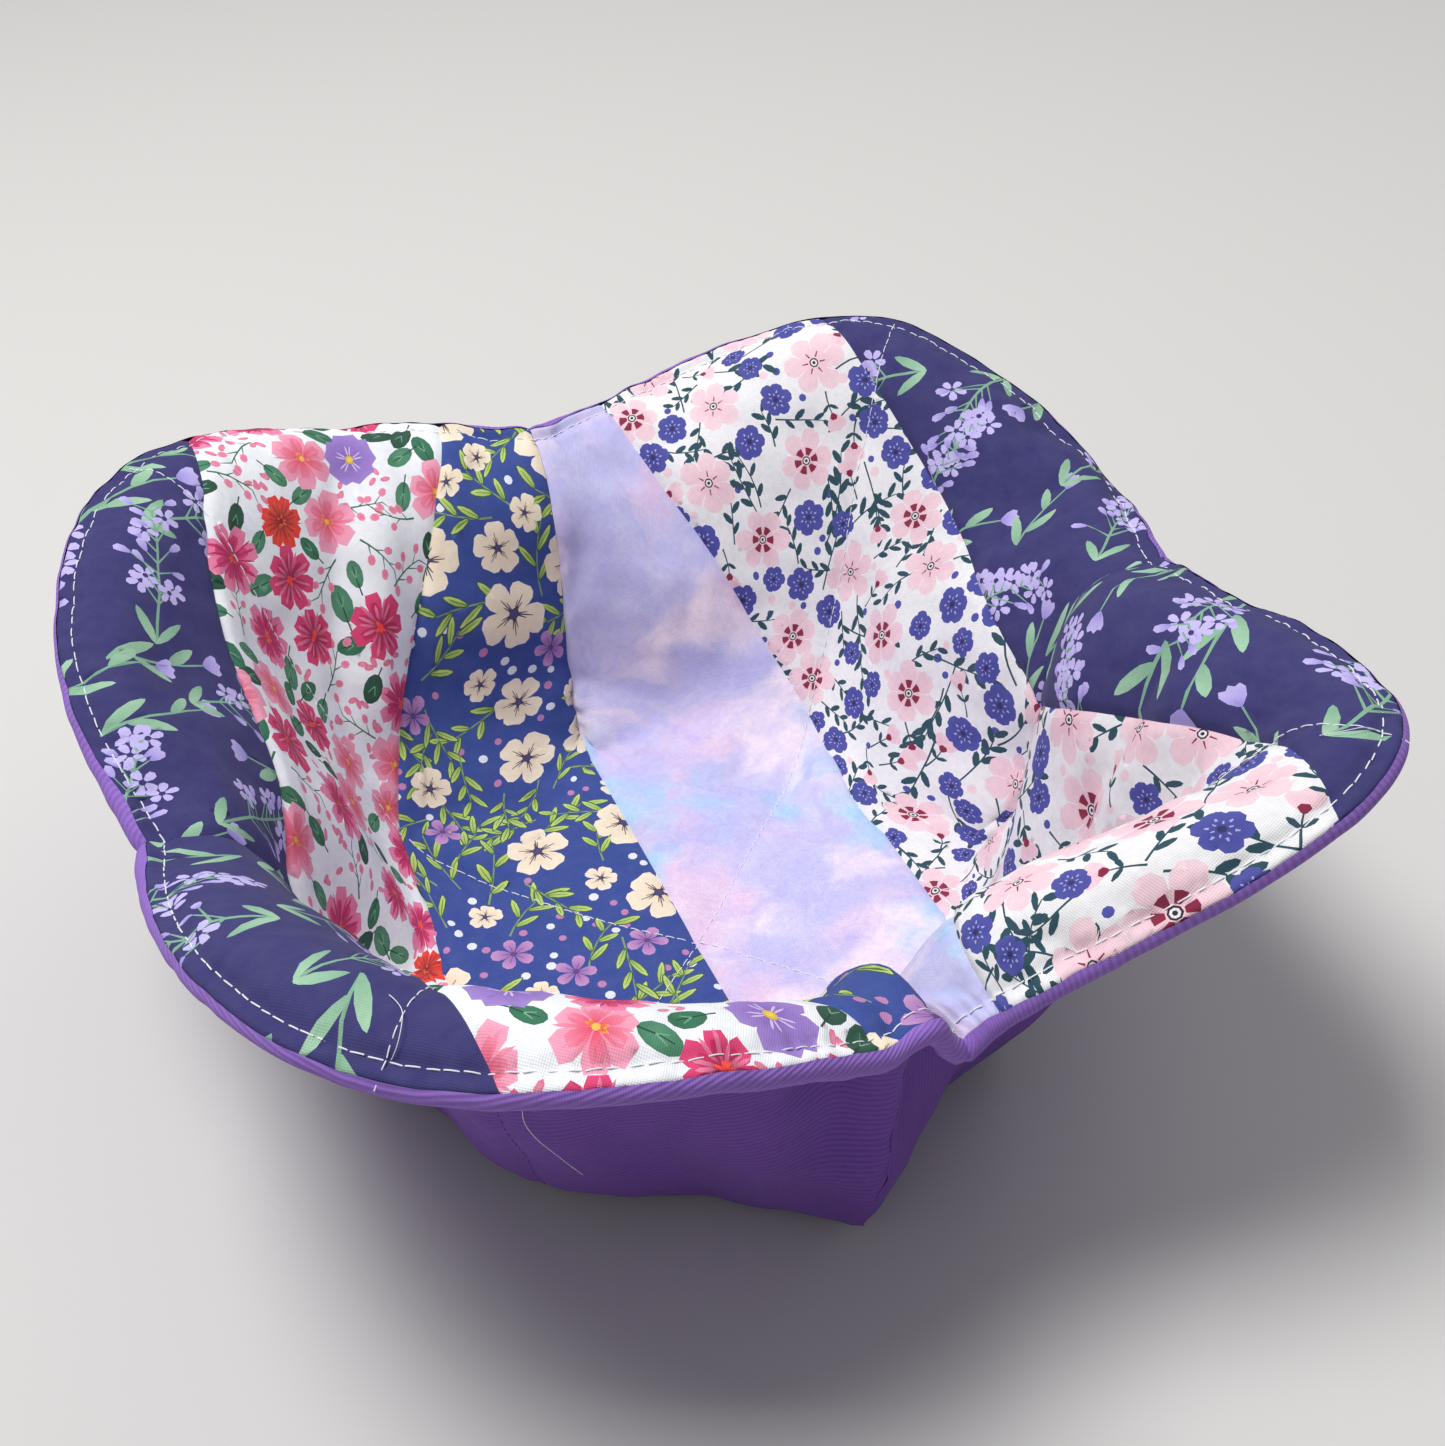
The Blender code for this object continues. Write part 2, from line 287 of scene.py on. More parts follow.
def wall_tables():
    """The walls' middle surface, the way through the wall to the lining, and the way out at the rim."""
    middle = settle(np.stack([petal_wall(petal) for petal in range(PETALS)]))
    across = np.gradient(middle, axis=1)
    up = np.gradient(middle, axis=2)
    normal = unit(np.cross(up, across))
    away = normal.copy()
    for petal in range(PETALS):
        other = (petal + 1) % PETALS
        shared = unit(normal[petal, -1] + normal[other, 0])
        for quarter, side in ((petal, -1), (other, 0)):
            corner = np.maximum((shared * normal[quarter, side]).sum(-1), LEAST_CORNER)
            offset = shared / corner[:, None]
            gap = np.linalg.norm(middle[quarter] - middle[quarter, side][None], axis=-1)
            near = smooth(1 - gap / DART_SOFTNESS)[..., None]
            away[quarter] = away[quarter] * (1 - near) + offset[None] * near
    outward = up[:, :, -1]
    rim_normal = unit(away[:, :, -1])
    outward = unit(outward - rim_normal * (outward * rim_normal).sum(-1, keepdims=True))
    return middle, away, outward


TABLES = wall_tables()


def locate(flat):
    """For flat points: the petal, the shares of its width and height, and the wall's length there."""
    flat = np.asarray(flat, float)
    right, back = flat[:, 0] >= 0, flat[:, 1] >= 0
    petal = np.select([right & back, ~right & back, ~right], [0, 1, 2], 3)
    home = np.empty_like(flat)
    for k in range(PETALS):
        chosen = petal == k
        home[chosen] = turn(flat[chosen], (PETALS - k) % PETALS)
    low, high = np.zeros(len(flat)), np.ones(len(flat))
    for _ in range(HALVINGS):
        share = (low + high) / 2
        foot, edge = base_edge(share), flat_edge(share)
        way, to = edge - foot, home - foot
        left = way[:, 0] * to[:, 1] - way[:, 1] * to[:, 0] > 0
        low, high = np.where(left, share, low), np.where(left, high, share)
    foot, edge = base_edge(share), flat_edge(share)
    length = np.linalg.norm(edge - foot, axis=1)
    height = ((home - foot) * (edge - foot)).sum(1) / length**2
    on_base = np.abs(flat).sum(1) <= DART_TIP
    return petal, share, np.where(on_base, -1, height), length


def sample(table, petal, share, height=None):
    """A table's values between its points."""
    x = np.clip(share, 0, 1) * (table.shape[1] - 1)
    i = np.minimum(x.astype(int), table.shape[1] - 2)
    fx = (x - i)[:, None]
    if height is None:
        return table[petal, i] * (1 - fx) + table[petal, i + 1] * fx
    y = np.clip(height, 0, 1) * (table.shape[2] - 1)
    j = np.minimum(y.astype(int), table.shape[2] - 2)
    fy = (y - j)[:, None]
    low = table[petal, i, j] * (1 - fx) + table[petal, i + 1, j] * fx
    high = table[petal, i, j + 1] * (1 - fx) + table[petal, i + 1, j + 1] * fx
    return low * (1 - fy) + high * fy


def waves(points, shortest, longest, count, seed):
    """Soft irregular waves of about unit height over the points."""
    rng = np.random.default_rng(seed)
    total = np.zeros(len(points))
    for _ in range(count):
        length = math.exp(rng.uniform(math.log(shortest), math.log(longest)))
        way = unit(rng.normal(size=points.shape[1])) * 2 * math.pi / length
        total += np.sin(points @ way + rng.uniform(0, 2 * math.pi))
    return total * math.sqrt(2 / count)


def drape(flat, place, height, to_dart):
    """How far the whole wall stands off its plain shape: its folds, and the cloth's own unevenness."""
    up = smooth(height / 0.45)
    lift = 0
    for rise, *kind in WAVES:
        lift = lift + rise * up * waves(place, *kind)
    clear = smooth(to_dart / 0.010) * smooth(height / 0.12)
    for start, end, half_width, rise in FOLDS:
        start, end = np.array(start), np.array(end)
        way = end - start
        length = np.linalg.norm(way)
        along = (flat - start) @ way / length**2
        aside = np.abs((flat - start) @ np.array([-way[1], way[0]]) / length)
        ends = smooth((along + 0.3) / 0.45) * smooth((1.25 - along) / 0.45)
        creased = np.exp(-np.sqrt(aside**2 + CREASE_ROUND**2) / half_width)
        lift += rise * (bell(aside, half_width) if rise > 0 else creased) * ends * clear
    for tip in ((DART_TIP, 0), (0, DART_TIP), (-DART_TIP, 0), (0, -DART_TIP)):
        from_tip = flat - np.array(tip)
        distance = np.linalg.norm(from_tip, axis=1)
        angle = np.arctan2(from_tip[:, 1], from_tip[:, 0])
        fan = np.cos(FAN_RAYS * angle) * bell(distance - FAN_MIDDLE, FAN_WIDTH) * smooth(to_dart / 0.004)
        lift += FAN_HEIGHT * fan * smooth(height / 0.2)
    return lift


def relief(flat, height, length, to_dart, lining):
    """How far a face of the padding is pulled in or stands out, by its stitches and seams."""
    past = np.where(height < 0, -1, (height - 1) * length)
    from_quilting = np.abs(np.abs(flat[:, 0]) - np.abs(flat[:, 1])) / math.sqrt(2)
    pulled = QUILTING_GROOVE * bell(from_quilting, QUILTING_WIDTH)
    puff = PUFF * (1 - bell(from_quilting, PUFF_REACH))
    pulled = pulled * (1 - smooth((past + 0.0016) / 0.001))
    pulled += TOPSTITCH_GROOVE * bell(past + TOPSTITCH_INSET, TOPSTITCH_WIDTH)
    pulled -= puff * (1 - smooth((past + 0.008) / 0.004))
    run = np.arctan2(flat[:, 1], flat[:, 0]) * HALF_SQUARE
    crimp = np.sin(2 * math.pi * run / PUCKER_LENGTH + 2.2 * np.sin(run * 260) + 1.3 * np.sin(run * 91))
    pulled += PUCKER * crimp * bell(past + TOPSTITCH_INSET, PUCKER_WIDTH)
    if lining:
        for seam in SEAMS:
            aside = flat[:, 0] - seam
            pulled += SEAM_GROOVE * bell(aside, SEAM_WIDTH)
            pressed = smooth(aside / ALLOWANCE_EDGE) * smooth((ALLOWANCE - aside) / ALLOWANCE_EDGE)
            pulled -= ALLOWANCE_RIDGE * pressed * smooth(to_dart / 0.003) * smooth(-past / ALLOWANCE_EDGE)
    pulled += DART_GROOVE * bell(to_dart, DART_WIDTH)
    return -np.minimum(pulled, DEEPEST_GROOVE)


def form(flat, lining, inset=0.0):
    """Carries flat points up to the lining's face, or the cover's, inset by a little where it says."""
    flat = np.array(flat, float)
    side = 1 if lining else -1
    middle, away, outward = TABLES
    petal, share, height, length = locate(flat)
    place = sample(middle, petal, share, height)
    way = sample(away, petal, share, height)
    base = height < 0
    place[base] = np.c_[flat[base], np.full(base.sum(), WALL / 2)]
    way[base] = (0, 0, 1)
    width = 2 * DART_TIP * math.sqrt(0.5) + DART_TIP * 1.6 * np.maximum(height, 0)
    to_dart = np.where(base, 1.0, np.minimum(share, 1 - share) * width)
    # Past the sewing line both cloths follow the folds that they have at it.
    rolled = height > 1
    for k in range(PETALS):
        chosen = rolled & (petal == k)
        flat[chosen] = turn(flat_edge(share[chosen]), k)
    place += unit(way) * drape(flat, place.copy(), np.maximum(height, 0), to_dart)[:, None]
    offset = FACE - inset + relief(flat, height, length, to_dart, lining)
    result = place + way * (offset * side)[:, None]
    if rolled.any():
        past = (height[rolled] - 1) * length[rolled]
        tuck = LINING_TUCK * smooth(past / LINING_ROLL) if lining else 0
        radius = (offset[rolled] - tuck)[:, None]
        angle = (past / FACE)[:, None]
        out = sample(outward, petal[rolled], share[rolled])
        up = way[rolled] * side
        result[rolled] = place[rolled] + out * radius * np.sin(angle) + up * radius * np.cos(angle)
    if not lining:
        result[:, 2] = np.maximum(result[:, 2], 0)
    return result


# Camera, lights and the pale floor.
FRAME_WIDTH = 1445
FOCAL_PIXELS = 1845
SENSOR_WIDTH = 36.0
CAMERA_AZIMUTH = math.radians(-21.9)
CAMERA_ELEVATION = math.radians(39.25)
CAMERA_ROLL = math.radians(-1.74)
CAMERA_DISTANCE = 0.3322
CAMERA_TARGET = Vector((0.0163, 0.0248, 0.030))
# Place, size and power of the key light, from the upper left and behind, and of a weaker fill.
LIGHTS = (((-0.30, 0.16, 1.10), 0.50, 12.5), ((0.70, 0.35, 0.90), 0.8, 2.0))
LIT_POINT = Vector((0, 0, 0.03))
SKY, SKY_STRENGTH = (0.93, 0.94, 0.96, 1), 0.31
FLOOR_HALF, FLOOR_DROP = 6.0, 0.0001
FLOOR_COLOUR, FLOOR_ROUGHNESS = (0.62, 0.61, 0.59, 1), 0.8


def set_camera():
    """Looks down into the bowl from the front, close by."""
    away = math.cos(CAMERA_ELEVATION)
    side, front = math.sin(CAMERA_AZIMUTH), math.cos(CAMERA_AZIMUTH)
    back = Vector((side * away, -front * away, math.sin(CAMERA_ELEVATION)))
    level = Vector((front, side, 0))
    up = back.cross(level)
    right = level * math.cos(CAMERA_ROLL) + up * math.sin(CAMERA_ROLL)
    up = up * math.cos(CAMERA_ROLL) - level * math.sin(CAMERA_ROLL)
    data = bpy.data.cameras.new("camera")
    data.sensor_width = SENSOR_WIDTH
    data.lens = FOCAL_PIXELS / FRAME_WIDTH * SENSOR_WIDTH
    data.clip_start = 0.01
    camera = new_object("camera", data)
    turn_to = Matrix((right, up, back)).transposed().to_4x4()
    camera.matrix_world = Matrix.Translation(CAMERA_TARGET + back * CAMERA_DISTANCE) @ turn_to
    bpy.context.scene.camera = camera


def light_scene():
    """Two soft lights and a pale sky."""
    for name, (place, size, power) in zip(("key light", "fill light"), LIGHTS):
        data = bpy.data.lights.new(name, "AREA")
        data.shape = "SQUARE"
        data.size = size
        data.energy = power
        light = new_object(name, data)
        light.location = place
        light.rotation_euler = (LIT_POINT - Vector(place)).to_track_quat("-Z", "Y").to_euler()
    world = bpy.data.worlds.new("studio")
    bpy.context.scene.world = world
    world.use_nodes = True
    background = world.node_tree.nodes["Background"]
    background.inputs["Color"].default_value = SKY
    background.inputs["Strength"].default_value = SKY_STRENGTH
    bpy.context.scene.view_settings.view_transform = "Standard"


def add_floor():
    mesh = bpy.data.meshes.new("floor")
    corners = [(x * FLOOR_HALF, y * FLOOR_HALF, -FLOOR_DROP) for x, y in ((-1, -1), (1, -1), (1, 1), (-1, 1))]
    mesh.from_pydata(corners, [], [(0, 1, 2, 3)])
    material = bpy.data.materials.new("pale_floor")
    material.use_nodes = True
    shader = material.node_tree.nodes["Principled BSDF"]
    shader.inputs["Base Color"].default_value = FLOOR_COLOUR
    shader.inputs["Roughness"].default_value = FLOOR_ROUGHNESS
    mesh.materials.append(material)
    new_object("floor", mesh)


class Nodes:
    """A short way to build a tree of nodes."""

    def __init__(self, tree):
        self.tree = tree

    def add(self, kind, settings=None, **inputs):
        node = self.tree.nodes.new(kind)
        for key, value in (settings or {}).items():
            setattr(node, key, value)
        for key, value in inputs.items():
            self.put(node, key.replace("_", " "), value)
        return node

    def put(self, node, key, value):
        if isinstance(value, bpy.types.NodeSocket):
            self.tree.links.new(value, node.inputs[key])
        else:
            node.inputs[key].default_value = value

    def math(self, operation, *values):
        node = self.add("ShaderNodeMath", {"operation": operation})
        for k, value in enumerate(values):
            self.put(node, k, value)
        return node.outputs[0]

    def about(self, base, value, spread):
        """The base value plus a share of another."""
        return self.math("ADD", base, self.math("MULTIPLY", value, spread))


class Surface(Nodes):
    """A material's nodes."""

    def __init__(self, name):
        self.material = bpy.data.materials.new(name)
        self.material.use_nodes = True
        super().__init__(self.material.node_tree)
        self.shader = self.tree.nodes["Principled BSDF"]

    def mix(self, share, first, second, blend="MIX"):
        node = self.add("ShaderNodeMix", {"data_type": "RGBA", "blend_type": blend})
        for key, value in ((0, share), (6, first), (7, second)):
            self.put(node, key, value)
        return node.outputs[2]

    def noise(self, vector, scale, detail=2.0, roughness=0.5, offset=(0, 0, 0)):
        moved = self.add("ShaderNodeMapping", Vector=vector, Location=offset).outputs[0]
        kind = {"Scale": scale, "Detail": detail, "Roughness": roughness}
        return self.add("ShaderNodeTexNoise", Vector=moved, **kind).outputs["Fac"]

    def step(self, value, low, high):
        node = self.add("ShaderNodeMapRange", {"interpolation_type": "SMOOTHSTEP"}, Value=value)
        self.put(node, "From Min", low)
        self.put(node, "From Max", high)
        return node.outputs[0]

    def complete(self, colour, roughness, height, strength, distance):
        """Links the shader's colour, roughness and relief."""
        self.put(self.shader, "Base Color", colour)
        self.put(self.shader, "Roughness", roughness)
        bump = self.add("ShaderNodeBump", Height=height, Strength=strength, Distance=distance)
        self.put(self.shader, "Normal", bump.outputs[0])
        return self.material


# Colour attribute: the strips' print colours, and on the cover the share of painted light on the rim's roll.
PRINT_AND_RIM_LIGHT = "Print"
FLAT = "Flat"


def ink(red, green, blue):
    """A colour in the numbers that a screen shows, as the linear light that a material takes."""
    values = np.array((red, green, blue)) / 255
    return np.where(values <= 0.04045, values / 12.92, ((values + 0.055) / 1.055) ** 2.4)


def thread_height(nodes, u, v, pitch, twill):
    """The weave's relief from 0 to 1: crossing threads, or a twill's slanting ribs."""
    turns = 2 * math.pi / pitch
    if twill:
        rib = nodes.math("SINE", nodes.math("MULTIPLY", nodes.math("ADD", u, v), turns * 0.5))
        cross = nodes.math("SINE", nodes.math("MULTIPLY", nodes.math("SUBTRACT", u, v), turns * 1.5))
        both = nodes.about(rib, cross, 0.3)
    else:
        warp = nodes.math("SINE", nodes.math("MULTIPLY", u, turns))
        weft = nodes.math("SINE", nodes.math("MULTIPLY", v, turns))
        both = nodes.math("MULTIPLY", warp, weft)
    return nodes.math("ADD", nodes.math("MULTIPLY", both, 0.4), 0.5)


def cotton(name, colour, pitch=0.00042, twill=False, bump=0.5):
    """Woven cotton: the colour of its print, a weave whose hollows are painted darker as painted shade, slubs
    in the yarn and a soft sheen.
    """
    nodes = Surface(name)
    place = nodes.add("ShaderNodeUVMap", {"uv_map": FLAT}).outputs[0]
    split = nodes.add("ShaderNodeSeparateXYZ", Vector=place)
    height = thread_height(nodes, split.outputs[0], split.outputs[1], pitch, twill)
    slub = nodes.noise(place, 900.0, 3.0, 0.6)
    cloud = nodes.noise(place, 45.0, 3.0, 0.5, (0.4, 0.2, 0))
    base = colour(nodes, place)
    # Painted shade: the weave's hollows and the twill's grooves are darker and their crowns lighter; slubs
    # and clouds are the yarn's own uneven tone.
    shade = nodes.about(0.84, height, 0.30 if twill else 0.16)
    shade = nodes.math("MULTIPLY", shade, nodes.about(0.86, slub, 0.26))
    shade = nodes.math("MULTIPLY", shade, nodes.about(0.93, cloud, 0.14))
    grey = nodes.add("ShaderNodeCombineColor", Red=shade, Green=shade, Blue=shade)
    for key, value in (("Specular IOR Level", 0.15), ("Sheen Weight", 0.05), ("Sheen Roughness", 0.5)):
        nodes.put(nodes.shader, key, value)
    shaded = nodes.mix(1.0, base, grey.outputs[0], "MULTIPLY")
    rough, raised = nodes.about(0.80, slub, 0.15), nodes.about(height, slub, 0.5)
    return nodes.complete(shaded, rough, raised, bump, 0.00012)


def printed_colour(nodes, place):
    """The print's own colours, a little uneven, as ink sits on cloth."""
    colours = nodes.add("ShaderNodeVertexColor", {"layer_name": PRINT_AND_RIM_LIGHT}).outputs[0]
    mottle = nodes.noise(place, 260.0, 4.0, 0.6, (0.7, 0.1, 0))
    return nodes.mix(nodes.math("MULTIPLY", mottle, 0.05), colours, (0.9, 0.9, 0.95, 1))


def purple_with_painted_rim_light(nodes, place):
    """Plain purple, with painted light along the rim: the roll is painted paler, as if lit from above."""
    fade = nodes.noise(place, 30.0, 2.0, 0.5, (0.3, 0.9, 0))
    plain = nodes.mix(fade, (0.150, 0.060, 0.335, 1), (0.210, 0.098, 0.430, 1))
    rolled = nodes.add("ShaderNodeVertexColor", {"layer_name": PRINT_AND_RIM_LIGHT}).outputs[0]
    # Painted light: the rim's stored share mixes in a pale purple where the roll would catch the light.
    return nodes.mix(rolled, plain, (0.300, 0.165, 0.560, 1))


# The wash's pools of colour: scale, detail, roughness, offset, where it starts and ends, and colour.
POOLS = (
    (30.0, 4.0, 0.55, (0.1, 0.0, 0), 0.44, 0.62, (232, 200, 230)),
    (34.0, 4.0, 0.55, (0.5, 0.3, 0), 0.50, 0.68, (168, 214, 246)),
    (36.0, 5.0, 0.55, (0.9, 0.6, 0), 0.48, 0.66, (249, 232, 246)),
)


def watercolour_wash(nodes, place):
    """Soft washes of lilac, pink, sky blue and cream that run into each other."""
    bend = nodes.add("ShaderNodeTexNoise", Vector=place, Scale=60.0, Detail=6.0)
    push = nodes.add("ShaderNodeVectorMath", {"operation": "SCALE"}, Scale=0.020)
    nodes.put(push, 0, bend.outputs["Color"])
    bent = nodes.add("ShaderNodeVectorMath", {"operation": "ADD"})
    nodes.put(bent, 0, place)
    nodes.put(bent, 1, push.outputs[0])
    where = bent.outputs[0]
    wash = (*ink(196, 194, 240), 1)
    for scale, detail, roughness, offset, low, high, colour in POOLS:
        pool = nodes.step(nodes.noise(where, scale, detail, roughness, offset), low, high)
        wash = nodes.mix(pool, wash, (*ink(*colour), 1))
    dark = nodes.step(nodes.noise(where, 64.0, 6.0, 0.65, (0.2, 0.8, 0)), 0.50, 0.70)
    wash = nodes.mix(nodes.math("MULTIPLY", dark, 0.45), wash, (*ink(172, 164, 230), 1))
    grain = nodes.step(nodes.noise(where, 150.0, 6.0, 0.7, (0.4, 0.1, 0)), 0.40, 0.70)
    return nodes.mix(nodes.math("MULTIPLY", grain, 0.25), wash, (*ink(240, 234, 246), 1))


def thread_material(name, colour):
    """Spun thread: its twist and fine fuzz."""
    nodes = Surface(name)
    place = nodes.add("ShaderNodeTexCoord").outputs["Object"]
    fuzz = nodes.noise(place, 4000.0, 2.0, 0.6)
    dark = (colour[0] * 0.75, colour[1] * 0.75, colour[2] * 0.78, 1)
    shaded = nodes.mix(fuzz, dark, (*colour, 1))
    return nodes.complete(shaded, nodes.about(0.55, fuzz, 0.2), fuzz, 0.4, 0.00005)


def wadding_material():
    """Cotton wadding: pale, matted fibres."""
    nodes = Surface("wadding")
    place = nodes.add("ShaderNodeTexCoord").outputs["Object"]
    clumps = nodes.noise(place, 500.0, 5.0, 0.7)
    shaded = nodes.mix(clumps, (0.70, 0.68, 0.62, 1), (0.86, 0.85, 0.80, 1))
    return nodes.complete(shaded, nodes.about(0.85, clumps, 0.1), clumps, 0.6, 0.0004)


def ray(angle):
    return complex(math.cos(angle), math.sin(angle))


def leaf_outline(length, width, points=10, sharp=0.4):
    """From its foot at 0 along the real axis; sharp draws both ends to a point."""
    t = np.linspace(0, 2 * math.pi, points, endpoint=False)
    x = length / 2 * (1 - np.cos(t))
    return x + 1j * width / 2 * np.sin(t) * np.abs(np.sin(t)) ** sharp


def petal_outline(length, width, points=10, notch=0.0):
    """Narrow at its foot and broad at its end, with a notch there where it says."""
    t = np.linspace(0, 2 * math.pi, points, endpoint=False)
    x = length / 2 * (1 - np.cos(t))
    y = width / 2 * np.sin(t) * (0.45 + 0.75 * x / length)
    return x - notch * np.exp(-(((t - math.pi) / 0.35) ** 2)) + 1j * y


class Drawing:
    """A print's shapes in mm on the flat cloth, later ones on top, each shaded from a centre outwards."""

    REACH = 127
    TRIES = 30

    def __init__(self, seed, ground):
        self.random = random.Random(seed)
        self.ground = ground
        self.shapes = []

    def near(self, value, spread=0.12):
        return value * self.random.uniform(1 - spread, 1 + spread)

    def any_way(self):
        return ray(self.random.uniform(0, 6.3))

    def branch(self, heading, k, least, most):
        """The way of a twig, on one side of its stem and then on the other."""
        return heading[k] * ray((-1) ** k * self.random.uniform(least, most))

    def add(self, outline, inner, outer=None, centre=None):
        outline = np.asarray(outline, complex)
        if (np.conj(outline) * np.roll(outline, -1)).imag.sum() < 0:
            outline = outline[::-1]
        centre = outline.mean() if centre is None else centre
        reach = np.abs(outline - centre).max()
        self.shapes.append((outline, inner, inner if outer is None else outer, centre, reach))

    def spot(self, centre, radius, inner, outer=None, points=8):
        turns = np.linspace(0, 2 * math.pi, points, endpoint=False)
        self.add(centre + radius * np.exp(1j * turns), inner, outer)

    def stroke(self, path, width, colour):
        """A ribbon along a path, thinner at its end."""
        path = np.asarray(path, complex)
        way = np.gradient(path)
        side = 1j * way / np.maximum(np.abs(way), 1e-9) * np.linspace(width, width * 0.55, len(path)) / 2
        self.add(np.concatenate([path + side, (path - side)[::-1]]), colour)

    def stem(self, place, way, length, bend, width, colour, points=6, lead=None):
        """A curved stem through a place; it gives back the places and directions along it."""
        bend = self.random.uniform(-bend, bend)
        start = place - way * (length / 2 if lead is None else lead)
        s = np.linspace(0, 1, points)
        path = start + way * length * (s + 1j * bend * s * s)
        self.stroke(path, width, colour)
        heading = way * (1 + 2j * bend * s)
        return path, heading / np.abs(heading)

    def bloom(self, centre, turn, count, length, width, inner, outer, start=0.1, notch=0.0, points=10):
        """A ring of petals."""
        for k in range(count):
            way = turn * ray(2 * math.pi * k / count + self.random.uniform(-0.08, 0.08))
            size = self.near(length, 0.08)
            shape = petal_outline(size, self.near(width, 0.08), points, notch)
            self.add(centre + way * (shape + start * length), inner, outer, centre)

    def scatter(self, left, right, kinds):
        """Finds room for each kind of motif as often as asked, then draws the smaller ones underneath."""
        placed = []
        for draw, radius, count, spacing in kinds:
            done = 0
            for _ in range(count * self.TRIES):
                across = self.random.uniform(left - 2, right + 2)
                place = complex(across, self.random.uniform(-self.REACH, self.REACH))
                if all(abs(place - other) > (radius + room) * spacing for _, other, room in placed):
                    placed.append((draw, place, radius))
                    done += 1
                if done == count:
                    break
        for draw, place, _ in reversed(placed):
            draw(self, place)


LILAC, LILAC_SHADE = ink(196, 184, 238), ink(150, 136, 214)
SAGE, SAGE_SHADE = ink(164, 204, 172), ink(126, 172, 142)
INDIGO = ink(48, 45, 107)


def sprig_way(rnd, spread):
    """Most sprigs lean the same way; some hang upside down."""
    return ray(rnd.gauss(0.35, spread) + (math.pi if rnd.random() < 0.3 else 0))


def lavender_sprig(drawing, place):
    """A curved stem with two leaves at its foot and a head of buds and small open florets."""
    rnd = drawing.random
    way = sprig_way(rnd, 0.40)
    path, heading = drawing.stem(place, way, drawing.near(23), 0.15, 0.55, SAGE_SHADE, 14)
    for side in (1, -1):
        leaf = leaf_outline(drawing.near(6.5), drawing.near(1.8), 10)
        drawing.add(path[0] + heading[0] * ray(side * 0.6) * leaf, SAGE, SAGE_SHADE, path[0])
    for k in range(4, 14):
        for side in (1, -1) if k % 3 else (1,):
            aim = heading[k] * ray(side * rnd.uniform(0.5, 1.15))
            stalk = rnd.uniform(1.8, 6.4) * (1.25 - 0.06 * k)
            head = path[k] + aim * stalk
            drawing.stroke([path[k], head], 0.34, SAGE_SHADE)
            if rnd.random() < 0.36:
                drawing.bloom(head, aim, 5, 2.1, 1.5, LILAC, LILAC, 0.12, points=8)
                drawing.spot(head, 0.5, INDIGO, points=6)
            else:
                bud = petal_outline(drawing.near(2.7), drawing.near(1.5), 8)
                drawing.add(head + aim * ray(rnd.uniform(-0.4, 0.4)) * bud, LILAC_SHADE, LILAC, head)


def leafy_sprig(drawing, place):
    """A plain stem with long leaves on alternate sides and one closed flower."""
    way = sprig_way(drawing.random, 0.5)
    path, heading = drawing.stem(place, way, drawing.near(17), 0.2, 0.6, SAGE_SHADE)
    for k, side in zip((0, 1, 3), (1, -1, 1)):
        leaf = leaf_outline(drawing.near(9.0 - k), drawing.near(2.0), 12)
        drawing.add(path[k] + heading[k] * ray(side * 0.5) * leaf, SAGE_SHADE, SAGE, path[k])
    for angle in (-0.45, 0.0, 0.45):
        bud = petal_outline(3.8, 1.9, 8)
        drawing.add(path[-1] + heading[-1] * ray(angle) * bud, LILAC_SHADE, LILAC, path[-1])


# Painted flowers: colours of the petals, of the brush strokes on them and of the heart.
ROSE = ((222, 62, 118), (240, 138, 176)), ((168, 18, 84), (206, 40, 108)), ((240, 120, 60), (230, 70, 50))
CERISE = ((196, 28, 88), (224, 62, 118)), ((140, 12, 66), (244, 130, 168)), ((240, 80, 50), (232, 60, 60))
BLUSH = ((238, 128, 158), (243, 164, 190)), ((226, 60, 90), (238, 150, 178)), ((228, 40, 60), (240, 190, 80))
SCARLET = ((214, 28, 34), (236, 62, 44)), ((132, 12, 28), (240, 96, 60)), ((240, 120, 60), (140, 12, 30))
LEAF_GREENS = (
    (ink(52, 122, 88), ink(40, 104, 74)),
    (ink(30, 84, 62), ink(24, 70, 52)),
    (ink(84, 146, 112), ink(58, 122, 90)),
)
TWIG = ink(42, 104, 76)


def painted_flower(colours, count=8, size=6.2):
    """A flower of brush strokes: broad petals, darker strokes from the heart, and a bright heart."""
    petals, brush, heart = ([ink(*colour) for colour in pair] for pair in colours)

    def draw(drawing, place):
        rnd = drawing.random
        turn = drawing.any_way()
        length = drawing.near(size, 0.1)
        width = length * 4.6 / count
        drawing.bloom(place, turn, count, length, width, petals[0], petals[1], 0.03, 0.6)
        drawing.bloom(place, turn, count, length * 0.66, width * 0.50, brush[0], petals[0], 0.08, 0.3)
        for k in range(count * 2):
            way = turn * ray(math.pi * k / count + rnd.uniform(-0.12, 0.12))
            stroke = leaf_outline(length * rnd.uniform(0.45, 0.8), rnd.uniform(0.35, 0.75), 6)
            drawing.add(place + way * (0.9 + stroke), brush[0], brush[1], place)
        for _ in range(7):
            way = drawing.any_way()
            drawing.add(place + way * leaf_outline(rnd.uniform(0.9, 1.7), 0.5, 6), heart[0], heart[1])
        drawing.spot(place, 0.55, heart[1], points=6)

    return draw


def violet_pansy(drawing, place):
    turn = drawing.any_way()
    drawing.bloom(place, turn, 5, 6.2, 6.4, ink(128, 92, 176), ink(158, 128, 204), 0.0, 0.7)
    for k in range(5):
        for side in (-0.18, 0.18):
            way = turn * ray(2 * math.pi * k / 5 + side)
            drawing.add(place + way * (0.8 + leaf_outline(2.4, 0.4, 6)), ink(205, 188, 230))
    drawing.spot(place, 1.0, ink(246, 222, 70), ink(214, 168, 40))


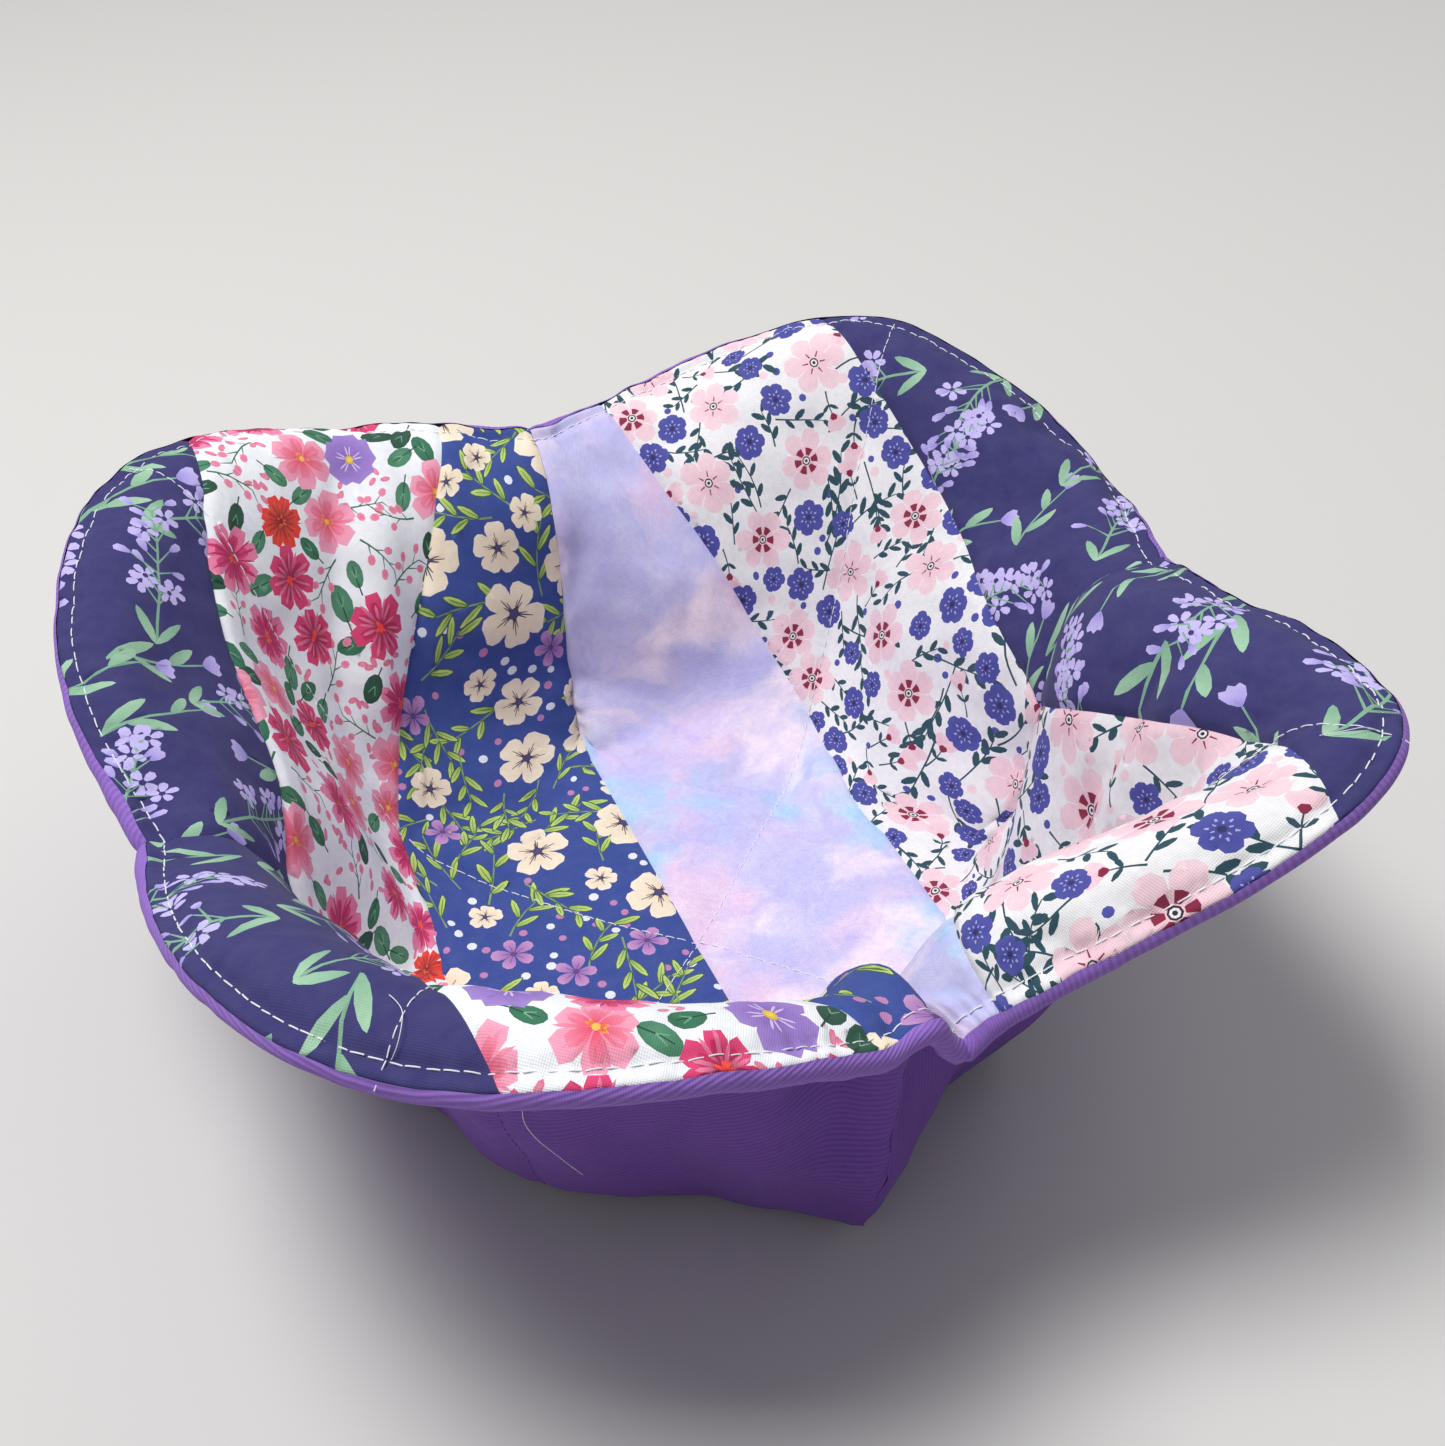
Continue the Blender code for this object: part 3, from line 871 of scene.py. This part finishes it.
def round_leaf(drawing, place):
    way = drawing.any_way()
    inner, outer = drawing.random.choice(LEAF_GREENS)
    length = drawing.near(5.8, 0.2)
    drawing.add(place + way * (leaf_outline(length, length * 0.58, 12, 0.15) - length / 2), inner, outer)
    drawing.stroke([place - way * length * 0.75, place + way * length * 0.3], 0.28, ink(22, 66, 48))
    for side in (0.6, -0.6):
        drawing.stroke([place - way * 0.6, place + way * ray(side) * length * 0.2], 0.2, ink(120, 172, 142))


def bud_spray(drawing, place):
    path, heading = drawing.stem(place, drawing.any_way(), 8, 0.3, 0.35, TWIG)
    for k in range(1, 6):
        aim = drawing.branch(heading, k, 0.5, 0.9)
        end = path[k] + aim * drawing.random.uniform(1.3, 2.4)
        drawing.stroke([path[k], end], 0.25, TWIG)
        drawing.add(end + aim * leaf_outline(1.9, 1.4, 7, 0.0), ink(226, 92, 132), ink(240, 150, 178))


def loose_petals(drawing, place):
    for _ in range(3):
        at = place + drawing.any_way() * drawing.random.uniform(0.5, 2.2)
        way = drawing.any_way()
        drawing.add(at + way * leaf_outline(2.1, 1.1, 7, 0.0), ink(240, 158, 182), ink(222, 96, 134))


CREAM, CREAM_SHADE = ink(243, 230, 208), ink(232, 212, 184)
PEN = ink(56, 50, 84)


def cream_flower(size):
    """Five notched petals with fine pen lines from a dark heart."""

    def draw(drawing, place):
        turn = drawing.any_way()
        drawing.bloom(place, turn, 5, size, size * 0.98, CREAM_SHADE, CREAM, 0.08, size * 0.08, 14)
        for k in range(5):
            for side, share in ((-0.2, 0.42), (0.0, 0.62), (0.2, 0.42)):
                way = turn * ray(2 * math.pi * k / 5 + side)
                drawing.stroke([place + way * size * 0.12, place + way * size * share], size * 0.045, PEN)
        drawing.spot(place, size * 0.17, ink(84, 70, 132), PEN, 7)

    return draw


def lilac_flower(drawing, place):
    turn = drawing.any_way()
    drawing.bloom(place, turn, 5, 3.5, 2.7, ink(140, 92, 164), ink(196, 146, 198), 0.1)
    for k in range(5):
        way = turn * ray(2 * math.pi * k / 5)
        drawing.stroke([place + way * 0.6, place + way * 2.2], 0.18, ink(104, 66, 134))
    drawing.spot(place, 0.6, ink(92, 60, 120), points=6)


def lime_spray(drawing, place):
    """Narrow leaves with a dark outline and rib along a fine stem."""
    way = drawing.any_way()
    path, heading = drawing.stem(place, way, drawing.near(12.0, 0.2), 0.3, 0.36, ink(126, 158, 92))
    for k in range(1, 6):
        aim = drawing.branch(heading, k, 0.45, 0.8)
        size = drawing.near(5.2, 0.15)
        drawing.add(path[k] + aim * leaf_outline(size, 1.75, 9), ink(56, 82, 66))
        inside = leaf_outline(size * 0.9, 1.22, 9) + size * 0.05
        drawing.add(path[k] + aim * inside, ink(150, 184, 84), ink(188, 214, 118), path[k])
        drawing.stroke([path[k], path[k] + aim * size * 0.75], 0.16, ink(84, 112, 62))


def coloured_dot(radius, colour):
    return lambda drawing, place: drawing.spot(place, drawing.near(radius), colour)


WINE, TEAL = ink(138, 22, 62), ink(28, 72, 86)
SHELL, SHELL_SHADE = ink(243, 212, 221), ink(240, 198, 211)
HYACINTH, HYACINTH_DASH = ink(74, 78, 164), ink(168, 166, 226)
EYE = ink(36, 30, 44)
WEDGE = np.array([1.0 - 0.35j, 2.35 - 0.8j, 2.5, 2.35 + 0.8j, 1.0 + 0.35j])


def shell_flower(drawing, place):
    """Six broad pale petals round a ring of dark wedges and a small eye."""
    turn = drawing.any_way()
    drawing.bloom(place, turn, 6, 5.6, 4.5, SHELL_SHADE, SHELL, 0.04)
    bold = drawing.random.random() < 0.65
    for k in range(6):
        way = turn * ray(math.pi / 3 * k)
        if bold:
            drawing.add(place + way * WEDGE, WINE)
        else:
            drawing.stroke([place + way * 1.1, place + way * 2.2], 0.3, WINE)
        edge = way * ray(0.52)
        drawing.stroke([place + edge * 2.6, place + edge * 4.2], 0.16, ink(250, 240, 243))
    drawing.spot(place, 0.86, EYE)
    drawing.spot(place, 0.6, ink(236, 232, 236))
    drawing.spot(place, 0.32, EYE, points=6)


def hyacinth_flower(size):
    """Six round petals with a light ring of dashes round a dark heart."""

    def draw(drawing, place):
        turn = drawing.any_way()
        drawing.bloom(place, turn, 6, size, size * 0.98, ink(60, 62, 142), HYACINTH, 0.02)
        for k in range(6):
            way = turn * ray(math.pi / 3 * k)
            for aim, low, high, width in ((way, 0.42, 0.58, 0.12), (way * ray(0.5), 0.25, 0.4, 0.08)):
                dash = [place + aim * size * low, place + aim * size * high]
                drawing.stroke(dash, size * width, HYACINTH_DASH)
        drawing.spot(place, size * 0.17, ink(38, 36, 92), points=7)

    return draw


def shell_bud(drawing, place):
    path, heading = drawing.stem(place, drawing.any_way(), 4.5, 0.2, 0.34, TEAL, lead=4)
    for angle in (-0.5, 0.0, 0.5):
        drawing.add(path[-1] + heading[-1] * ray(angle) * petal_outline(3.6, 2.1, 8), SHELL_SHADE, SHELL)
    drawing.add(path[-1] + heading[-1] * (petal_outline(1.5, 1.7, 7) - 0.2), WINE)
    for side in (1, -1):
        drawing.add(path[3] + heading[3] * ray(side * 0.9) * leaf_outline(2.1, 0.8, 7), TEAL)


def teal_spray(drawing, place):
    way = drawing.any_way()
    path, heading = drawing.stem(place, way, drawing.near(8.5, 0.25), 0.3, 0.34, TEAL)
    for k in range(1, 6):
        aim = drawing.branch(heading, k, 0.5, 0.9)
        drawing.add(path[k] + aim * leaf_outline(drawing.near(2.7), drawing.near(1.1), 8, 0.2), TEAL)


def teal_vine(drawing, place):
    """A long bent stem with leaves towards its end."""
    way = drawing.any_way()
    path, heading = drawing.stem(place, way, drawing.near(14, 0.2), 0.35, 0.36, TEAL, 10)
    for k in range(4, 10):
        aim = drawing.branch(heading, k, 0.4, 0.8)
        drawing.add(path[k] + aim * leaf_outline(drawing.near(3.3), drawing.near(1.3), 8, 0.2), TEAL)


# Each print's ground and its motifs: how it is drawn, its radius in mm, how many, how close.
PRINTS = {
    "lavender": (INDIGO, ((lavender_sprig, 9.0, 18, 0.80), (leafy_sprig, 7.0, 18, 0.74))),
    "pink_floral": (
        ink(240, 242, 247),
        (
            (violet_pansy, 6.0, 8, 0.90),
            (painted_flower(ROSE), 6.2, 17, 0.86),
            (painted_flower(CERISE, 7, 5.6), 5.4, 18, 0.84),
            (painted_flower(SCARLET, 8, 5.2), 5.0, 6, 0.84),
            (painted_flower(BLUSH, 6, 5.8), 5.4, 22, 0.80),
            (bud_spray, 3.4, 34, 0.80),
            (round_leaf, 2.7, 110, 0.80),
            (loose_petals, 1.8, 70, 0.84),
        ),
    ),
    "blue_floral": (
        ink(46, 70, 146),
        (
            (cream_flower(5.9), 6.5, 20, 0.98),
            (cream_flower(4.4), 5.0, 10, 0.96),
            (cream_flower(3.0), 3.4, 14, 0.96),
            (lilac_flower, 3.5, 20, 0.94),
            (lime_spray, 4.0, 80, 0.74),
            (coloured_dot(0.85, ink(226, 230, 240)), 1.2, 70, 0.95),
            (coloured_dot(0.75, ink(188, 126, 178)), 1.1, 70, 0.95),
        ),
    ),
    "watercolour": (ink(215, 205, 232), ()),
    "ditsy_floral": (
        ink(238, 237, 240),
        (
            (shell_flower, 5.4, 42, 0.96),
            (hyacinth_flower(3.2), 3.2, 46, 0.98),
            (hyacinth_flower(2.5), 2.5, 40, 0.98),
            (shell_bud, 3.2, 30, 0.86),
            (teal_spray, 3.1, 80, 0.80),
            (teal_vine, 2.2, 60, 0.80),
            (coloured_dot(0.75, HYACINTH), 1.0, 60, 0.95),
            (coloured_dot(0.9, SHELL), 1.1, 40, 0.95),
        ),
    ),
}


# Spacing of the cloths' points, in mm on the flat; the rows along the rim follow its roll.
STRIP_GRID, COVER_GRID, PADDING_GRID = 0.95, 1.1, 2.2
RIM_ROWS = (-4.2, -3.5, -2.9, -2.3, -1.7, -1.1, -0.5, 0.0, 0.35, 0.7)
ROLL_ROWS = (1.1, 1.6, 2.1, 2.6, 3.1, 3.6, 4.1, 4.6, 5.1)
RIM_POINTS, LEG_POINTS, SEAM_POINTS = 173, 90, 290
# How far points stay off each other's lines, and how far the flat square reaches, in mm.
FRINGE, RIM_MARGIN, LEG_MARGIN = 0.45, 0.2, 0.1
REACH_MM, PRINTED_MM, OUTSIDE_MM = 130, 122, 140
TINY = 1e-9
LEAST_AREA = 1e-7
SAME_POINT = 1e-4


def rim_row(past_mm):
    """Points of a line beside the sewing line, dart to dart for each petal, in mm."""
    share = np.linspace(0, 1, RIM_POINTS)
    return [beside(share, petal, past_mm * METRE) / METRE for petal in range(PETALS)]


def dart_legs(past_mm):
    """Both sides of each dart, from its tip to past the sewing line, in mm."""
    legs = []
    for petal in range(PETALS):
        for share in (0.0, 1.0):
            foot, end = turn(base_edge([share]), petal), beside([share], petal, past_mm * METRE)
            legs.append((foot + (end - foot) * np.linspace(0, 1, LEG_POINTS)[:, None]) / METRE)
    return legs


def inside_cloth(points_mm, left, right, past_mm):
    """Whether flat points belong to the cloth: between its seams, within the rim and outside the darts."""
    flat = points_mm * METRE
    petal, _, height, length = locate(flat)
    past = np.where(height < 0, -1, (height - 1) * length)
    kept = (past < past_mm * METRE) & (points_mm[:, 0] > left) & (points_mm[:, 0] < right)
    for share, side in ((0.0, 1), (1.0, -1)):
        foot, edge = base_edge([share])[0], flat_edge([share])[0]
        way = edge - foot
        for k in range(PETALS):
            home = turn(flat, (PETALS - k) % PETALS) - foot
            cross = way[0] * home[:, 1] - way[1] * home[:, 0]
            kept &= (petal != k) | (cross * side > -TINY)
    return kept


def plain_points(left, right, past_mm, grid):
    """A close honeycomb of points over the cloth, and rows along its rim."""
    rows = []
    for k, v in enumerate(np.arange(-REACH_MM, REACH_MM, grid * math.sqrt(3) / 2)):
        u = np.arange(max(left, -REACH_MM), min(right, REACH_MM), grid) + (grid / 2 if k % 2 else 0)
        rows.append(np.stack([u, np.full(len(u), v)], -1))
    points = np.concatenate(rows)
    fringe = -RIM_ROWS[0] + FRINGE
    points = points[inside_cloth(points, left + grid * 0.4, right - grid * 0.4, -fringe)]
    offsets = [past for past in RIM_ROWS + ROLL_ROWS if past < past_mm - RIM_MARGIN]
    rim = np.concatenate([row for past in offsets for row in rim_row(past)])
    rim = rim[inside_cloth(rim, left + RIM_MARGIN, right - RIM_MARGIN, past_mm)]
    return np.concatenate([points, rim])


def flat_cloth(left, right, past_mm, grid, drawing=None):
    """Cuts the cloth flat: its points in mm, its triangles, and the topmost printed shape on each."""
    down = np.linspace(-REACH_MM, REACH_MM, SEAM_POINTS)
    seams = [np.stack([np.full(SEAM_POINTS, x), down], -1) for x in (left, right) if abs(x) < OUTSIDE_MM]
    points, edges = [plain_points(left, right, past_mm, grid)], []
    count = len(points[0])
    for line in seams + rim_row(past_mm) + dart_legs(past_mm + LEG_MARGIN):
        near = line[(line[:, 0] > left - 3) & (line[:, 0] < right + 3)]
        if len(near) < 2:
            continue
        points.append(near)
        edges += [(count + k, count + k + 1) for k in range(len(near) - 1)]
        count += len(near)
    faces = []
    for outline, *_ in drawing.shapes if drawing else ():
        points.append(np.stack([outline.real, outline.imag], -1))
        faces.append(list(range(count, count + len(outline))))
        count += len(outline)
    points = [Vector(p) for p in np.concatenate(points)]
    found = delaunay_2d_cdt(points, edges, faces, 0, SAME_POINT, True)
    made = np.array([(p.x, p.y) for p in found[0]])
    triangles = np.array(found[2])
    top = np.array([max(owners, default=-1) for owners in found[5]])
    kept = inside_cloth(made[triangles].mean(1), left, right, past_mm)
    a, b, c = (made[triangles[:, k]] for k in range(3))
    area = (b[:, 0] - a[:, 0]) * (c[:, 1] - a[:, 1]) - (b[:, 1] - a[:, 1]) * (c[:, 0] - a[:, 0])
    kept &= np.abs(area) > LEAST_AREA
    triangles[area < 0] = triangles[area < 0][:, ::-1]
    triangles, top, area = triangles[kept], top[kept], np.abs(area[kept]).sum() / 2
    used, index = np.unique(triangles, return_inverse=True)
    return made[used], index.reshape(-1, 3), top, area * METRE**2


def print_colours(points, triangles, top, drawing):
    """The colour at each triangle's corners."""
    corners = points[triangles].reshape(-1, 2)
    place = corners[:, 0] + 1j * corners[:, 1]
    colours = np.ones((len(corners), 4))
    colours[:, :3] = drawing.ground
    if drawing.shapes:
        inner, outer, centre, reach = (np.array(column) for column in list(zip(*drawing.shapes))[1:])
        k = np.repeat(top, 3)
        on = k >= 0
        k = k[on]
        share = np.clip(np.abs(place[on] - centre[k]) / reach[k], 0, 1)[:, None]
        colours[on, :3] = inner[k] * (1 - share) + outer[k] * share
    return colours


def mesh_object(name, points, faces, material):
    mesh = bpy.data.meshes.new(name)
    mesh.from_pydata([tuple(p) for p in points], [], [tuple(map(int, face)) for face in faces])
    mesh.update()
    mesh.shade_smooth()
    mesh.materials.append(material)
    return new_object(name, mesh)


def add_cloth(name, flat_mm, triangles, lining, material, colours):
    """Carries a flat cloth into the bowl, and keeps its flat place as the weave's map."""
    points = form(flat_mm * METRE, lining)
    if not lining:
        triangles = triangles[:, ::-1]
    obj = mesh_object(name, points, triangles, material)
    uv = obj.data.uv_layers.new(name=FLAT)
    uv.data.foreach_set("uv", (flat_mm * METRE)[triangles].reshape(-1))
    layer = obj.data.color_attributes.new(PRINT_AND_RIM_LIGHT, "FLOAT_COLOR", "CORNER")
    layer.data.foreach_set("color", colours.reshape(-1))
    return obj


# The lining's strips from left to right: name, the part's node, print and seed.
STRIPS = (
    ("lavender_left", "lavender_strip_left", "lavender", 11),
    ("pink_floral", "pink_floral_strip", "pink_floral", 22),
    ("blue_floral", "blue_floral_strip", "blue_floral", 33),
    ("watercolour", "watercolour_strip", "watercolour", 44),
    ("ditsy_floral", "ditsy_floral_strip", "ditsy_floral", 55),
    ("lavender_right", "lavender_strip_right", "lavender", 67),
)


def make_strips():
    """The patchwork lining: six strips, each printed, cut and sewn into the bowl."""
    printed = cotton("printed_cotton", printed_colour)
    washed = cotton("watercolour_cotton", watercolour_wash)
    borders = (-OUTSIDE_MM, *(seam / METRE for seam in SEAMS), OUTSIDE_MM)
    for left, right, (name, node, cloth, seed) in zip(borders, borders[1:], STRIPS):
        ground, kinds = PRINTS[cloth]
        drawing = Drawing(seed, ground)
        drawing.scatter(max(left, -PRINTED_MM), min(right, PRINTED_MM), kinds)
        flat_mm, triangles, top, area = flat_cloth(left, right, LINING_ROLL / METRE, STRIP_GRID, drawing)
        colours = print_colours(flat_mm, triangles, top, drawing)
        strip = add_cloth(name, flat_mm, triangles, True, printed if kinds else washed, colours)
        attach(strip, "root")
        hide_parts(node)


def make_cover():
    """The outer cover, rolled over the rim to meet the lining."""
    flat_mm, triangles, _, area = flat_cloth(-OUTSIDE_MM, OUTSIDE_MM, COVER_ROLL / METRE, COVER_GRID)
    material = cotton("purple_twill_cotton", purple_with_painted_rim_light, 0.00062, True, 0.7)
    _, _, height, length = locate(flat_mm * METRE)
    # Painted light on the rim: each point's share of pale purple rises across a band around the sewing line,
    # stored in the cover's colour attribute.
    rolled = RIM_PAINTED_LIGHT * smooth(((height - 1) * length + RIM_LIGHT_BAND / 2) / RIM_LIGHT_BAND)
    rolled = np.stack([rolled, rolled, rolled, np.ones(len(rolled))], -1)
    cover = add_cloth("cover", flat_mm, triangles, False, material, rolled[triangles[:, ::-1]])
    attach(cover, "root")
    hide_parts("outer_cover")


PADDING_INSET = 0.0007


def make_padding():
    """The wadding between the cloths, thin where stitches pull it in."""
    flat_mm, triangles, _, _ = flat_cloth(-OUTSIDE_MM, OUTSIDE_MM, 0.0, PADDING_GRID)
    sides = [form(flat_mm * METRE, lining, PADDING_INSET) for lining in (True, False)]
    count = len(flat_mm)
    edges = np.concatenate([triangles[:, [0, 1]], triangles[:, [1, 2]], triangles[:, [2, 0]]])
    both = np.unique(np.sort(edges, axis=1), axis=0, return_counts=True)
    single = {tuple(edge) for edge, uses in zip(*both) if uses == 1}
    walls = [(b, a, a + count, b + count) for a, b in edges if (min(a, b), max(a, b)) in single]
    faces = [tuple(t) for t in triangles] + [tuple(t[::-1] + count) for t in triangles] + walls
    padding = mesh_object("padding", np.concatenate(sides), faces, wadding_material())
    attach(padding, "root")
    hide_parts("batting")


# Sewing thread: stitch length, the gap between two and the thread's thickness, in metres.
STITCH = 0.0019
STITCH_GAP = 0.0005
THREAD = 0.00023
QUILTING_STITCH = 0.0017
QUILTING_THREAD = 0.00020
THREAD_SIDES = 6
STITCH_TURNS = (0.05, 0.08, 0.10)
STANDING = "up"


def add_socket(tree, name, kind, value):
    socket = tree.interface.new_socket(name=name, in_out="INPUT", socket_type=kind)
    if value is not None:
        socket.default_value = value
    return socket.identifier


def stitch_tree():
    """Sets arched stitches along edge paths, each standing on the cloth that the path's normals give."""
    tree = bpy.data.node_groups.new("stitch_row", "GeometryNodeTree")
    tree.interface.new_socket(name="Geometry", in_out="INPUT", socket_type="NodeSocketGeometry")
    tree.interface.new_socket(name="Geometry", in_out="OUTPUT", socket_type="NodeSocketGeometry")
    named = {
        "Stitch length": ("NodeSocketFloat", STITCH),
        "Gap": ("NodeSocketFloat", STITCH_GAP),
        "Thread": ("NodeSocketFloat", THREAD),
        "Seed": ("NodeSocketInt", 7),
        "Material": ("NodeSocketMaterial", None),
    }
    sockets = {name: add_socket(tree, name, *kind) for name, kind in named.items()}
    nodes = Nodes(tree)
    given = nodes.add("NodeGroupInput").outputs
    path = nodes.add("GeometryNodeMeshToCurve", Mesh=given["Geometry"]).outputs[0]
    pitch = nodes.math("ADD", given["Stitch length"], given["Gap"])
    spaced = nodes.add("GeometryNodeResampleCurve", {"mode": "LENGTH"}, Curve=path, Length=pitch)

    half = nodes.math("MULTIPLY", given["Stitch length"], 0.5)
    sunk = nodes.math("MULTIPLY", given["Thread"], -0.55)
    arch = nodes.add(
        "GeometryNodeCurveQuadraticBezier",
        Resolution=5,
        Start=nodes.add("ShaderNodeCombineXYZ", X=nodes.math("MULTIPLY", half, -1.0), Z=sunk).outputs[0],
        Middle=nodes.add("ShaderNodeCombineXYZ", Z=nodes.math("MULTIPLY", given["Thread"], 1.1)).outputs[0],
        End=nodes.add("ShaderNodeCombineXYZ", X=half, Z=sunk).outputs[0],
    )
    profile = nodes.add("GeometryNodeCurvePrimitiveCircle", Resolution=THREAD_SIDES)
    nodes.put(profile, "Radius", nodes.math("MULTIPLY", given["Thread"], 0.5))
    curves = {"Curve": arch.outputs[0], "Profile_Curve": profile.outputs[0]}
    body = nodes.add("GeometryNodeCurveToMesh", Fill_Caps=True, **curves)
    body = nodes.add("GeometryNodeSetShadeSmooth", Geometry=body.outputs[0])

    align = "FunctionNodeAlignRotationToVector"
    tangent = nodes.add("GeometryNodeInputTangent").outputs[0]
    along = nodes.add(align, {"axis": "X"}, Vector=tangent).outputs[0]
    out = nodes.add("GeometryNodeInputNamedAttribute", {"data_type": "FLOAT_VECTOR"}, Name=STANDING)
    out = out.outputs[0]
    upright = nodes.add(align, {"axis": "Z", "pivot_axis": "X"}, Rotation=along, Vector=out).outputs[0]
    wander = nodes.add("FunctionNodeRandomValue", {"data_type": "FLOAT_VECTOR"}, Seed=given["Seed"])
    nodes.put(wander, 0, tuple(-most for most in STITCH_TURNS))
    nodes.put(wander, 1, STITCH_TURNS)
    turned = nodes.add("FunctionNodeRotateRotation", {"rotation_space": "LOCAL"}, Rotation=upright)
    nodes.put(turned, "Rotate By", wander.outputs[0])

    placed = {"Points": spaced.outputs[0], "Instance": body.outputs[0], "Rotation": turned.outputs[0]}
    sewn = nodes.add("GeometryNodeInstanceOnPoints", **placed)
    real = nodes.add("GeometryNodeRealizeInstances", Geometry=sewn.outputs[0]).outputs[0]
    dressed = nodes.add("GeometryNodeSetMaterial", Geometry=real, Material=given["Material"])
    nodes.put(nodes.add("NodeGroupOutput"), 0, dressed.outputs[0])
    return tree, sockets


STITCH_ROW = stitch_tree()
FACE_STEP = 0.0004


def surface_points(flat, lining, lift):
    """Places on the cloth's face, lifted a little off it, and the way out of the cloth there."""
    here = form(flat, lining)
    aside = form(flat + (FACE_STEP, 0), lining) - form(flat - (FACE_STEP, 0), lining)
    ahead = form(flat + (0, FACE_STEP), lining) - form(flat - (0, FACE_STEP), lining)
    out = unit(np.cross(aside, ahead)) * (1 if lining else -1)
    return here + out * lift, out


def quilting_paths():
    """The cross that quilts the cozy, from tip to tip, a little unsteady as hand-guided lines are."""
    reach = (HALF_SQUARE - CORNER_RADIUS * (1 - math.sqrt(0.5))) + 0.0006
    along = np.linspace(-reach, reach, 420)
    wobble = 0.00035 * np.sin(along * 95) + 0.00025 * np.sin(along * 210 + 1)
    for sign in (1, -1):
        yield np.stack([along + wobble, sign * (along - wobble)], -1)


def bake(guide, name):
    """Turns a guide into a plain mesh object of its own."""
    graph = bpy.context.evaluated_depsgraph_get()
    mesh = bpy.data.meshes.new_from_object(guide.evaluated_get(graph), depsgraph=graph)
    mesh.name = name
    bpy.data.objects.remove(guide)
    return new_object(name, mesh)


def sew(name, paths, lining, material, seed, stitch=STITCH, thread=THREAD):
    """Turns flat paths into rows of stitches, as one mesh."""
    points, edges, normals = [], [], []
    for path in paths:
        place, out = surface_points(path, lining, thread * 0.30)
        edges += [(len(points) + k, len(points) + k + 1) for k in range(len(place) - 1)]
        points += [tuple(p) for p in place]
        normals.append(out)
    mesh = bpy.data.meshes.new(name + "_paths")
    mesh.from_pydata(points, edges, [])
    standing = mesh.attributes.new(STANDING, "FLOAT_VECTOR", "POINT")
    standing.data.foreach_set("vector", np.concatenate(normals).reshape(-1))
    guide = new_object(name + "_paths", mesh)
    modifier = guide.modifiers.new("stitches", "NODES")
    modifier.node_group, sockets = STITCH_ROW
    given = {"Seed": seed, "Material": material, "Stitch length": stitch, "Thread": thread}
    for key, value in given.items():
        modifier[sockets[key]] = value
    return bake(guide, name)


# Loose ends of thread: flat places with the height above the cloth, in mm, on one side of the wall.
LOOSE_THREAD = 0.00012
OUTSIDE_END = (
    ((-61.5, -68.5, 0.2), (-60.7, -66.7, 0.6), (-57.0, -65.0, 0.9)),
    ((-52.8, -63.2, 0.6), (-48.0, -60.6, 0.9), (-43.9, -57.4, 0.3)),
)
LEFT_TAIL = (
    *((-99.0, -99.2, 0.0), (-97.6, -99.0, 0.8), (-96.0, -97.2, 1.2)),
    *((-95.6, -94.8, 0.6), (-96.6, -92.6, 0.4)),
)
RIGHT_TAIL = ((99.6, -99.0, 0.0), (98.0, -98.2, 0.7), (95.4, -98.6, 0.9), (93.0, -97.0, 0.4))


def make_loose_ends(material):
    """The thread ends that were left uncut, as thin curves over the cloth."""
    curve = bpy.data.curves.new("loose_ends", "CURVE")
    curve.dimensions = "3D"
    curve.bevel_depth = LOOSE_THREAD / 2
    curve.bevel_resolution = 1
    curve.use_fill_caps = True
    for lining, route in ((False, OUTSIDE_END), (True, LEFT_TAIL), (True, RIGHT_TAIL)):
        route = np.array(route).reshape(-1, 3) * METRE
        place, out = surface_points(route[:, :2], lining, LOOSE_THREAD / 2)
        place += out * route[:, 2:]
        spline = curve.splines.new("NURBS")
        spline.points.add(len(route) - 1)
        spline.points.foreach_set("co", np.pad(place, ((0, 0), (0, 1)), constant_values=1).reshape(-1))
        spline.use_endpoint_u = True
        spline.order_u = 3
        spline.resolution_u = 8
    ends = bake(new_object("loose_ends_guide", curve), "loose_ends")
    ends.data.shade_smooth()
    ends.data.materials.clear()
    ends.data.materials.append(material)
    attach(ends, "root")


def make_stitches():
    """Topstitching round the rim and the quilting cross: white on the lining, purple on the cover."""
    white = thread_material("white_thread", (0.86, 0.86, 0.90))
    purple = thread_material("purple_thread", (0.210, 0.095, 0.430))
    share = np.linspace(0.004, 0.996, 240)
    topstitch = [beside(share, petal, -TOPSTITCH_INSET) for petal in range(PETALS)]
    quilting = list(quilting_paths())
    for side, lining, material in (("lining", True, white), ("cover", False, purple)):
        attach(sew(side + "_topstitch", topstitch, lining, material, 3), "root")
        quilted = sew(side + "_quilting", quilting, lining, material, 5, QUILTING_STITCH, QUILTING_THREAD)
        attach(quilted, "root")
    make_loose_ends(white)


set_camera()
light_scene()
add_floor()
make_padding()
make_strips()
make_cover()
make_stitches()
